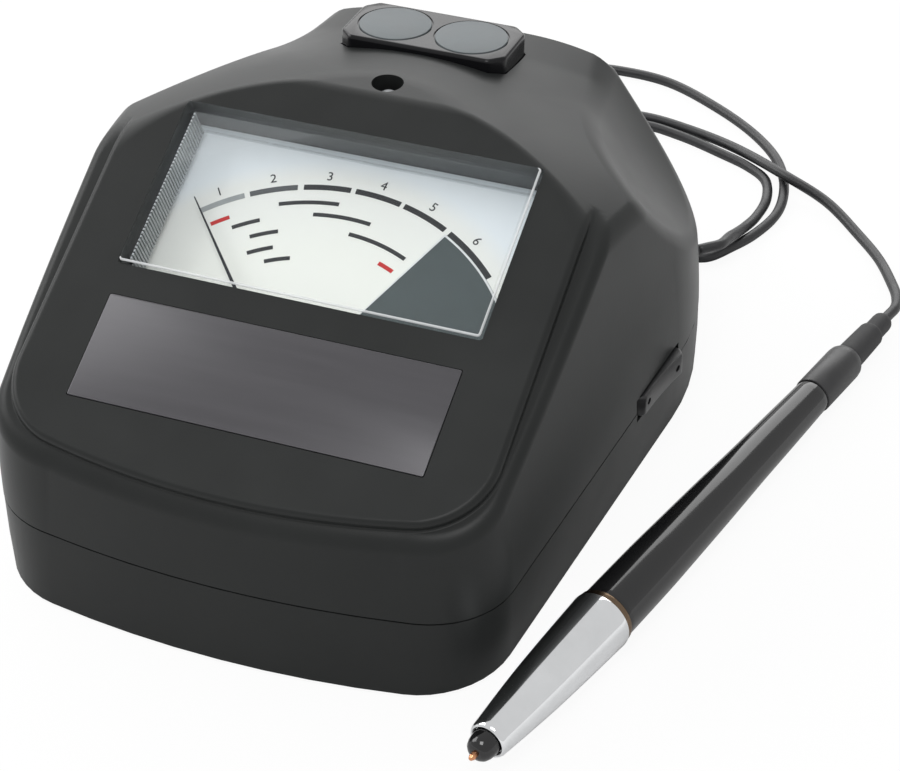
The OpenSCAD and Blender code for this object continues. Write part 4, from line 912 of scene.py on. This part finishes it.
relief_finish = bpy.data.materials.new("rubber_black")
relief_rings = from_tree("relief_rings", ring_row_tree(), {
    "Count": 5, "Pitch": (0, 0, 1.05 * MM), "First Radius": 2.25 * MM, "Last Scale": 0.64,
    "Thickness": 0.36 * MM, "Finish": relief_finish,
})
ON_RELIEF = Matrix.Translation((0, REAR_Y * MM, 7 * MM)) @ Matrix.Rotation(math.radians(40), 4, "Z")
ON_RELIEF = ON_RELIEF @ Matrix.Translation((56.056 * MM, 0, 0)) @ Matrix.Rotation(math.radians(90), 4, "Y")
place(outwards(relief_rings), ON_RELIEF @ Matrix.Translation((0, 0, 1.2 * MM)))
relief_profile = [(-4.3, 0), (-4.3, 3.8), (-2.8, 3.8), (-2.8, 2.58), (-0.2, 2.58), (0.5, 2.75), (0.9, 2.6),
                  (1.3, 2.2), (5.6, 1.45), (6.0, 1.3), (6.0, 0)]
relief = place(smooth_by_angle(turned("strain_boot", relief_profile, 48), 40), ON_RELIEF)
print("relief rings:", len(relief_rings.data.polygons), "faces")

# %% [markdown]
# ## The pen
# The pen is turned work: a dark nose, a bright ferrule that swells to the rear, a
# thin bronze ring, a long black barrel that tapers, a satin collar and a soft
# sleeve over the cord. Each is a closed profile turned round the pen's axis;
# the profiles pass smoothly through radii read off the photograph at the assumed
# scale, and the parts hidden inside are guessed.

# %% Frame of the pen and smooth profiles
ON_PEN = Matrix.Translation((52.8 * MM, -87 * MM, 6.840 * MM))
ON_PEN = ON_PEN @ Matrix.Rotation(math.radians(75.75), 4, "Z") @ Matrix.Rotation(math.radians(91.352), 4, "Y")


def swept(stations, steps=10):
    """A smooth line through [along, radius] stations, by monotone cubic pieces."""
    s, r = np.array(stations, float).T
    width = np.diff(s)
    rise = np.diff(r) / width
    slope = np.concatenate([[rise[0]], (rise[1:] + rise[:-1]) / 2, [rise[-1]]])
    made = []
    for i in range(len(width)):
        for t in np.arange(steps) / steps:
            made.append((
                s[i] + t * width[i],
                (2 * t ** 3 - 3 * t ** 2 + 1) * r[i] + (t ** 3 - 2 * t ** 2 + t) * width[i] * slope[i]
                + (3 * t ** 2 - 2 * t ** 3) * r[i + 1] + (t ** 3 - t ** 2) * width[i] * slope[i + 1],
            ))
    return made + [(s[-1], r[-1])]


def pen_part(name, profile, bore, steps=96):
    """Turns a profile with a bore; bore is a radius or a list of [along, radius] from rear to front."""
    loop = list(profile)
    loop += [(profile[-1][0], bore), (profile[0][0], bore)] if not isinstance(bore, list) else bore
    return place(smooth_by_angle(turned(name, loop, steps), 32), ON_PEN)


# %% Turn the parts of the pen
nose = pen_part("pen_tip_cap", [(0, 0.95), (0.05, 1.2), (0.3, 1.75), (0.8, 2.2), (1.6, 2.5), (2.6, 2.65), (3.8, 2.7),
                                (3.8, 2.3), (6.8, 2.3)], [(6.8, 0.65), (0, 0.65)])
ferrule_line = swept([(4.1, 3.62), (12, 4.35), (18, 4.83), (24, 5.2), (30, 5.5), (38.5, 5.88)])
ferrule = pen_part("pen_bright_ferrule", [(3.5, 2.95), (3.4, 3.1), (3.5, 3.3), (3.75, 3.48)] + ferrule_line
                   + [(38.85, 5.84), (39, 5.7)], [(39, 4.05), (30.8, 4.05), (30.8, 2.35), (4.0, 2.35), (4.0, 2.75)])
ring = pen_part("pen_bronze_ring", [(39, 5.3), (39.2, 5.55), (39.7, 5.66), (40.2, 5.6), (40.4, 5.3)], 4.05)
barrel_line = swept([(40.9, 5.36), (48, 5.33), (57, 5.24), (64, 5.06), (77, 4.7),
                     (90, 4.25), (103, 3.93), (114.6, 3.6)])
barrel = pen_part("pen_barrel_black", [(31, 3.85), (31.15, 4.0), (40.4, 4.0), (40.4, 5.1), (40.55, 5.28)] + barrel_line
                  + [(114.9, 3.5), (115, 3.3), (115, 2.9), (121, 2.9)], [(121, 2.4), (31, 2.4)])
collar = pen_part("pen_collar_satin", [(115, 3.45), (115.15, 3.72), (115.4, 3.8), (127.2, 3.8), (128.2, 3.68),
                                       (128.8, 3.42), (129, 3.3)],
                  [(129, 2.0), (121.2, 2.0), (121.2, 2.95), (115, 2.95)])
sleeve_line = swept([(129.4, 2.9), (134, 2.78), (138.9, 2.62)])
sleeve = pen_part("pen_soft_sleeve", [(125, 0.0), (125, 1.98), (129, 1.98), (129, 2.7)] + sleeve_line
                  + [(139.3, 2.5), (139.6, 2.2), (140.3, 2.12), (143.4, 2.12),
                     (144.1, 2.02), (144.5, 1.8), (144.5, 0.0)], [])
print("pen radius at the ferrule:", round(max(r for _, r in ferrule_line), 2), "mm")

# %% [markdown]
# ## Finishes
# Every finish is a small node tree on Object coordinates, so it sticks to its
# part and needs no images. One helper lays the common base: patches of slightly
# different colour and gloss, and a fine grain in the bump. What is special to a
# finish, such as brushing or rings of colour, is added in its own cell.

# %% Node helpers
def wire(material, start, end):
    material.node_tree.links.new(start, end)


def node(material, kind, inputs=None, **settings):
    made = material.node_tree.nodes.new(kind)
    for key, value in settings.items():
        setattr(made, key, value)
    for key, value in (inputs or {}).items():
        made.inputs[key].default_value = value
    return made


def ramp(material, stops):
    """A colour ramp from [place, colour] pairs."""
    made = node(material, "ShaderNodeValToRGB")
    line = made.color_ramp
    while len(line.elements) < len(stops):
        line.elements.new(0.5)
    for element, (place_at, color) in zip(line.elements, stops):
        element.position = place_at
        element.color = (*color, 1)
    return made


def finish(name, color, spread=0.12, rough=(0.4, 0.5), patch=60, grain=1800, depth=0.012,
           stretch=(1, 1, 1), **sockets):
    """A finish with patches of colour and gloss and a fine grain; depth is in millimetres."""
    material = bpy.data.materials.get(name) or bpy.data.materials.new(name)
    material.use_nodes = True
    shader = material.node_tree.nodes["Principled BSDF"]
    for key, value in sockets.items():
        shader.inputs[key.replace("_", " ")].default_value = value
    place_node = node(material, "ShaderNodeTexCoord")
    mapping = node(material, "ShaderNodeMapping", {"Scale": stretch})
    wire(material, place_node.outputs["Object"], mapping.inputs["Vector"])
    patches = node(material, "ShaderNodeTexNoise", {"Scale": patch, "Detail": 3, "Roughness": 0.6})
    wire(material, mapping.outputs[0], patches.inputs["Vector"])
    low, high = [c * (1 - spread) for c in color], [min(1, c * (1 + spread)) for c in color]
    tint = ramp(material, [(0.3, low), (0.7, high)])
    wire(material, patches.outputs["Fac"], tint.inputs["Fac"])
    wire(material, tint.outputs["Color"], shader.inputs["Base Color"])
    gloss = node(material, "ShaderNodeMapRange",
                 {"From Min": 0.3, "From Max": 0.7, "To Min": rough[0], "To Max": rough[1]})
    wire(material, patches.outputs["Fac"], gloss.inputs["Value"])
    wire(material, gloss.outputs["Result"], shader.inputs["Roughness"])
    if depth:
        fine = node(material, "ShaderNodeTexNoise", {"Scale": grain, "Detail": 2, "Roughness": 0.7})
        wire(material, mapping.outputs[0], fine.inputs["Vector"])
        bump = node(material, "ShaderNodeBump", {"Strength": 0.6, "Distance": depth * MM})
        wire(material, fine.outputs["Fac"], bump.inputs["Height"])
        wire(material, bump.outputs["Normal"], shader.inputs["Normal"])
    return material


# %% [markdown]
# The case halves are moulded in a dark grey plastic with a fine spark texture,
# the sort that hides fingerprints. Soft patches of gloss and one fine grain break
# up the highlight; the base is a shade darker. The colours, gloss and lights were
# tuned by the mean brightness of small regions of the photograph.

# %% Case plastic
case_plastic = finish("case_plastic", (0.0180, 0.0193, 0.0190), 0.08, (0.36, 0.42), 45, 1500, 0.016, IOR=1.27)
base_plastic = finish("base_plastic", (0.0172, 0.0184, 0.0181), 0.08, (0.37, 0.43), 45, 1500, 0.016, IOR=1.27)

# %% Other plastics and rubbers
nameplate_film = finish("nameplate_film", (0.060, 0.058, 0.064), 0.05, (0.30, 0.35), 30, 900, 0.004, (1, 14, 1),
                        Metallic=0.3)
meter_black = finish("meter_black", (0.022, 0.022, 0.024), 0.15, (0.5, 0.6), 80, 1200, 0.02)
holder_gloss = finish("holder_gloss", (0.005, 0.005, 0.006), 0.1, (0.16, 0.22), 90, 500, 0.004, IOR=1.32)
button_black = finish("button_black", (0.016, 0.016, 0.017), 0.1, (0.3, 0.38), 120, 1600, 0.01)
chip_black = finish("chip_black", (0.02, 0.021, 0.023), 0.2, (0.45, 0.6), 200, 1400, 0.02)
board_green = finish("board_green", (0.03, 0.16, 0.06), 0.25, (0.25, 0.4), 150, 700, 0.01)
cell_wrap = finish("cell_wrap", (0.16, 0.2, 0.24), 0.1, (0.25, 0.35), 60, 900, 0.006, Metallic=0.6)
rubber_black = finish("rubber_black", (0.018, 0.018, 0.019), 0.2, (0.6, 0.75), 300, 1400, 0.03)
cord_black = finish("cord_black", (0.016, 0.0165, 0.018), 0.25, (0.38, 0.5), 260, 1800, 0.02)
pen_black = finish("pen_black", (0.007, 0.007, 0.0075), 0.12, (0.07, 0.12), 70, 420, 0.0025, IOR=1.52)
collar_satin = finish("collar_satin", (0.02, 0.02, 0.021), 0.15, (0.35, 0.45), 200, 1500, 0.012)
# Pale grey, not clear: the ribs' finish is a painted reflection of the dial in the skirt.
rib_painted_reflection = finish("rib_painted_reflection", (0.42, 0.44, 0.45), 0.1, (0.25, 0.35), 200, 900, 0.01)
print("plastics ready")

# %% [markdown]
# Metals are brushed or turned: the noise is stretched along the way the tool
# went, which gives fine scratches instead of speckles.

# %% Metals
steel = finish("steel", (0.56, 0.57, 0.58), 0.08, (0.25, 0.4), 400, 2400, 0.004, (1, 1, 0.2), Metallic=1.0)
copper_wire = finish("copper_wire", (0.62, 0.26, 0.12), 0.12, (0.3, 0.42), 500, 3000, 0.02, (0.3, 1, 1), Metallic=1.0)
brass = finish("brass", (0.7, 0.5, 0.22), 0.1, (0.2, 0.32), 300, 1600, 0.004, Metallic=1.0)
magnet_iron = finish("magnet_iron", (0.2, 0.205, 0.21), 0.2, (0.35, 0.55), 150, 1200, 0.02, Metallic=1.0)
needle_black = finish("needle_black", (0.035, 0.036, 0.04), 0.15, (0.4, 0.5), 300, 1500, 0.004)
contact_nickel = finish("contact_nickel", (0.66, 0.66, 0.64), 0.06, (0.15, 0.25), 300, 2000, 0.003, Metallic=1.0)
ferrule_chrome = finish("ferrule_chrome", (0.72, 0.73, 0.74), 0.04, (0.06, 0.11), 120, 2600, 0.0012, Metallic=1.0)
ring_bronze = finish("ring_bronze", (0.15, 0.105, 0.07), 0.12, (0.22, 0.32), 300, 1500, 0.004, Metallic=1.0)
copper_tip = finish("copper_tip", (0.66, 0.31, 0.16), 0.15, (0.28, 0.4), 600, 2400, 0.006, Metallic=1.0)
print("metals ready")

# %% [markdown]
# The stone discs are ground flat: a satin blue-grey with faint cloudy patches and
# a very fine tooth. Inks are flat colours on paper, mottled only a little.

# %% Stone, inks and dial
disc_stone = finish("disc_stone", (0.105, 0.120, 0.126), 0.1, (0.42, 0.5), 220, 2600, 0.006, IOR=1.36)
INK_COLORS = {"black": (0.012, 0.013, 0.015), "pale": (0.36, 0.38, 0.38), "grey": (0.09, 0.095, 0.10),
              "red": (0.60, 0.012, 0.012), "slate": (0.062, 0.080, 0.082), "white": (0.80, 0.81, 0.80)}
ink_finish = {name: finish("ink_" + name, color, 0.08, (0.45, 0.6), 500, 2200, 0.002)
              for name, color in INK_COLORS.items()}


def dial_paper():
    """Cream inside the scale and cooler outside it, by distance from the needle's axis."""
    material = finish("dial_white", (0.8, 0.8, 0.78), 0.02, (0.5, 0.6), 120, 1500, 0.006)
    shader = material.node_tree.nodes["Principled BSDF"]
    axis = PANEL_AT - PIVOT_DOWN * PANEL_UP
    place_node = node(material, "ShaderNodeTexCoord")
    away = node(material, "ShaderNodeVectorMath", operation="DISTANCE")
    away.inputs[1].default_value = axis * MM
    wire(material, place_node.outputs["Object"], away.inputs[0])
    span = node(material, "ShaderNodeMapRange", {"From Min": 0.030, "From Max": 0.060})
    wire(material, away.outputs["Value"], span.inputs["Value"])
    tint = ramp(material, [(0.0, (0.88, 0.88, 0.82)), (0.5, (0.88, 0.88, 0.84)),
                           (0.62, (0.86, 0.90, 0.92)), (1, (0.84, 0.89, 0.92))])
    wire(material, span.outputs["Result"], tint.inputs["Fac"])
    wire(material, tint.outputs["Color"], shader.inputs["Base Color"])
    return material


dial_white = dial_paper()

# %% [markdown]
# ## Clear plastic
# The window is a thin clear plate, and light has to reach the dial through it.
# Real refraction would bend the print and slow the picture down, so the plate is
# a mix: see-through where it is looked at straight, and a mirror-like gloss that
# grows at a slant, by Fresnel's rule. Its rounded edge gathers light and looks
# silvery, so the edge faces on the right and front get a paler, less clear finish:
# a painted highlight. The lamp is a cloudy dome.

# %% Clear finishes
def clear_finish(name, see_through, color, rough, ior, most=1.0):
    """Gloss over a see-through body; see_through is the share that stays clear where it is looked at straight."""
    material = finish(name, color, 0.02, rough, 90, 700, 0.0006, IOR=ior)
    tree = material.node_tree
    shader, output = tree.nodes["Principled BSDF"], tree.nodes["Material Output"]
    through = node(material, "ShaderNodeBsdfTransparent", {"Color": (0.97, 0.98, 0.985, 1)})
    slant = node(material, "ShaderNodeFresnel", {"IOR": ior})
    share = node(material, "ShaderNodeMapRange",
                 {"From Min": 0.0, "From Max": 1.0, "To Min": 1 - see_through, "To Max": most})
    mix = node(material, "ShaderNodeMixShader")
    wire(material, slant.outputs[0], share.inputs["Value"])
    wire(material, share.outputs["Result"], mix.inputs["Fac"])
    wire(material, through.outputs[0], mix.inputs[1])
    wire(material, shader.outputs[0], mix.inputs[2])
    wire(material, mix.outputs[0], output.inputs["Surface"])
    return material


clear_window = clear_finish("clear_window", 0.99, (0.9, 0.92, 0.93), (0.02, 0.05), 1.45, 0.3)
# The paler edge finish is a painted highlight on the window's right and front edges.
edge_painted_highlight = clear_finish("edge_painted_highlight", 0.3, (0.86, 0.88, 0.89), (0.1, 0.2), 1.49)
lamp_clear = finish("lamp_clear", (0.62, 0.64, 0.66), 0.15, (0.12, 0.2), 900, 2000, 0.004, IOR=1.5, Coat_Weight=0.5)
print("clear finishes ready")

# %% [markdown]
# ## Dress the parts
# Each new piece is given its finish and the body that it rides on, and the solid
# that it stands for is hidden. Solids that need no new shape keep their
# own mesh and only get the finish of their slot.

# %% Dress the new pieces
def dress(piece, body, finishes, slot, *stands_for):
    finishes = finishes if isinstance(finishes, list) else [finishes]
    index = [face.material_index for face in piece.data.polygons]
    piece.data.materials.clear()
    for item in finishes:
        piece.data.materials.append(item)
    if len(finishes) > 1:
        piece.data.polygons.foreach_set("material_index", index)
    if body:
        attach(piece, body)
    if stands_for:
        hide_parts(*stands_for)


dress(case, "case", case_plastic, "case_plastic", "upper_case")
dress(base, "case", base_plastic, "base_plastic", "base_cover")
dress(window, "case", [clear_window, edge_painted_highlight], "clear_window", "meter_window")
dress(ribs, "case", rib_painted_reflection, "clear_window")
dress(dial_print, "case", [ink_finish[name] for name in INKS], "dial_ink", "dial_scale")
dress(nameplate, "case", nameplate_film, "nameplate_film", "nameplate")
dress(holder, "case", holder_gloss, "holder_gloss", "disc_holder")
for disc, side in zip(discs, ("left", "right")):
    dress(disc, "case", disc_stone, "disc_stone", "disc_" + side)
dress(rocker, "rocker", button_black, "button_black", "power_button")
dress(relief, "case", rubber_black, "rubber_black", "strain_relief")
dress(relief_rings, "case", rubber_black, "rubber_black")
dress(nose, "pen", pen_black, "pen_black", "pen_nose")
dress(ferrule, "pen", ferrule_chrome, "ferrule_chrome", "pen_ferrule")
dress(ring, "pen", ring_bronze, "ring_bronze", "pen_ring")
dress(barrel, "pen", pen_black, "pen_black", "pen_barrel")
dress(collar, "pen", collar_satin, "collar_satin", "pen_collar")
dress(sleeve, "pen", rubber_black, "rubber_black", "pen_sleeve")
dress(cord, None, cord_black, "cord_black", "cord_case_end", "cord_coil", "cord_pen_end")
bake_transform(cord)

# %% Give the remaining solids the finish of their slot
FINISH_OF = {
    "meter_black": meter_black, "dial_white": dial_white, "needle_black": needle_black, "steel": steel,
    "copper_wire": copper_wire, "brass": brass, "magnet_iron": magnet_iron, "lamp_clear": lamp_clear,
    "board_green": board_green, "chip_black": chip_black, "base_plastic": base_plastic, "cell_wrap": cell_wrap,
    "contact_nickel": contact_nickel, "rubber_black": rubber_black, "copper_tip": copper_tip,
}
new_shapes = {"upper_case", "base_cover", "meter_window", "dial_scale", "nameplate", "disc_holder", "disc_left",
              "disc_right", "power_button", "strain_relief", "pen_nose", "pen_ferrule", "pen_ring", "pen_barrel",
              "pen_collar", "pen_sleeve", "cord_case_end", "cord_coil", "cord_pen_end"}
kept = 0
for part in frame["record"]["subparts"]:
    if part["node"] in new_shapes:
        continue
    solid = frame["nodes"][part["node"]]
    for slot in solid.material_slots:
        slot.material = FINISH_OF[part["material_slot"]]
    kept += 1
print("solids that keep their shape:", kept)

# %% [markdown]
# ## Floor, light and surroundings
# The tester stands on a plain white table. The camera, mirrors and glass see a
# white room; what lights the object is softer. A wide soft box behind and to the
# left puts the grey sheen on the flat and the scoops, one at the left lights the
# left walls, and one above lights the panel and the dial.

# %% Floor
corners = [(-1500, -1500, 0), (1500, -1500, 0), (1500, 1500, 0), (-1500, 1500, 0)]
floor = new_object("floor", corners, [(0, 1, 2, 3)], False)
white = bpy.data.materials.new("white_table")
white.use_nodes = True
white.node_tree.nodes.clear()
output = node(white, "ShaderNodeOutputMaterial")
matte = node(white, "ShaderNodeBsdfDiffuse", {"Color": (0.9, 0.9, 0.9, 1)})
glow = node(white, "ShaderNodeEmission", {"Color": (1, 1, 1, 1), "Strength": 1.0})
rays = node(white, "ShaderNodeLightPath")
share = node(white, "ShaderNodeMath", {1: 0.93}, operation="MULTIPLY")
mix = node(white, "ShaderNodeMixShader")
wire(white, rays.outputs["Is Camera Ray"], share.inputs[0])
wire(white, share.outputs[0], mix.inputs["Fac"])
wire(white, matte.outputs[0], mix.inputs[1])
wire(white, glow.outputs[0], mix.inputs[2])
wire(white, mix.outputs[0], output.inputs["Surface"])
floor.data.materials.append(white)

# %% World
world = bpy.data.worlds.new("white_room")
scene.world = world
world.use_nodes = True
world.node_tree.nodes.clear()
output = node(world, "ShaderNodeOutputWorld")
rays = node(world, "ShaderNodeLightPath")
seen = node(world, "ShaderNodeBackground", {"Strength": 1.0})
light = node(world, "ShaderNodeBackground", {"Strength": 0.6})
either = node(world, "ShaderNodeMath", operation="MAXIMUM")
any_of = node(world, "ShaderNodeMath", operation="MAXIMUM")
mix = node(world, "ShaderNodeMixShader")
wire(world, rays.outputs["Is Camera Ray"], either.inputs[0])
wire(world, rays.outputs["Is Glossy Ray"], either.inputs[1])
wire(world, either.outputs[0], any_of.inputs[0])
wire(world, rays.outputs["Is Transmission Ray"], any_of.inputs[1])
wire(world, any_of.outputs[0], mix.inputs["Fac"])
wire(world, light.outputs[0], mix.inputs[1])
wire(world, seen.outputs[0], mix.inputs[2])
wire(world, mix.outputs[0], output.inputs["Surface"])


# %% Soft boxes
def soft_box(name, at, size, power):
    """A square area light at a place in metres, aimed at the middle of the tester."""
    lamp = bpy.data.lights.new(name, "AREA")
    lamp.shape, lamp.size, lamp.size_y, lamp.energy = "RECTANGLE", size[0], size[1], power
    made = bpy.data.objects.new(name, lamp)
    made.location = at
    made.rotation_euler = (Vector(at) - Vector((0, 0, 0.03))).to_track_quat("Z", "Y").to_euler()
    scene.collection.objects.link(made)
    return made


soft_box("soft box behind", (-0.5, 1.2, 0.78), (2.2, 0.95), 18)
soft_box("soft box left", (-1.3, 0.1, 0.9), (0.9, 0.9), 10)
soft_box("soft box above", (0.1, -0.6, 1.4), (0.6, 0.6), 8)
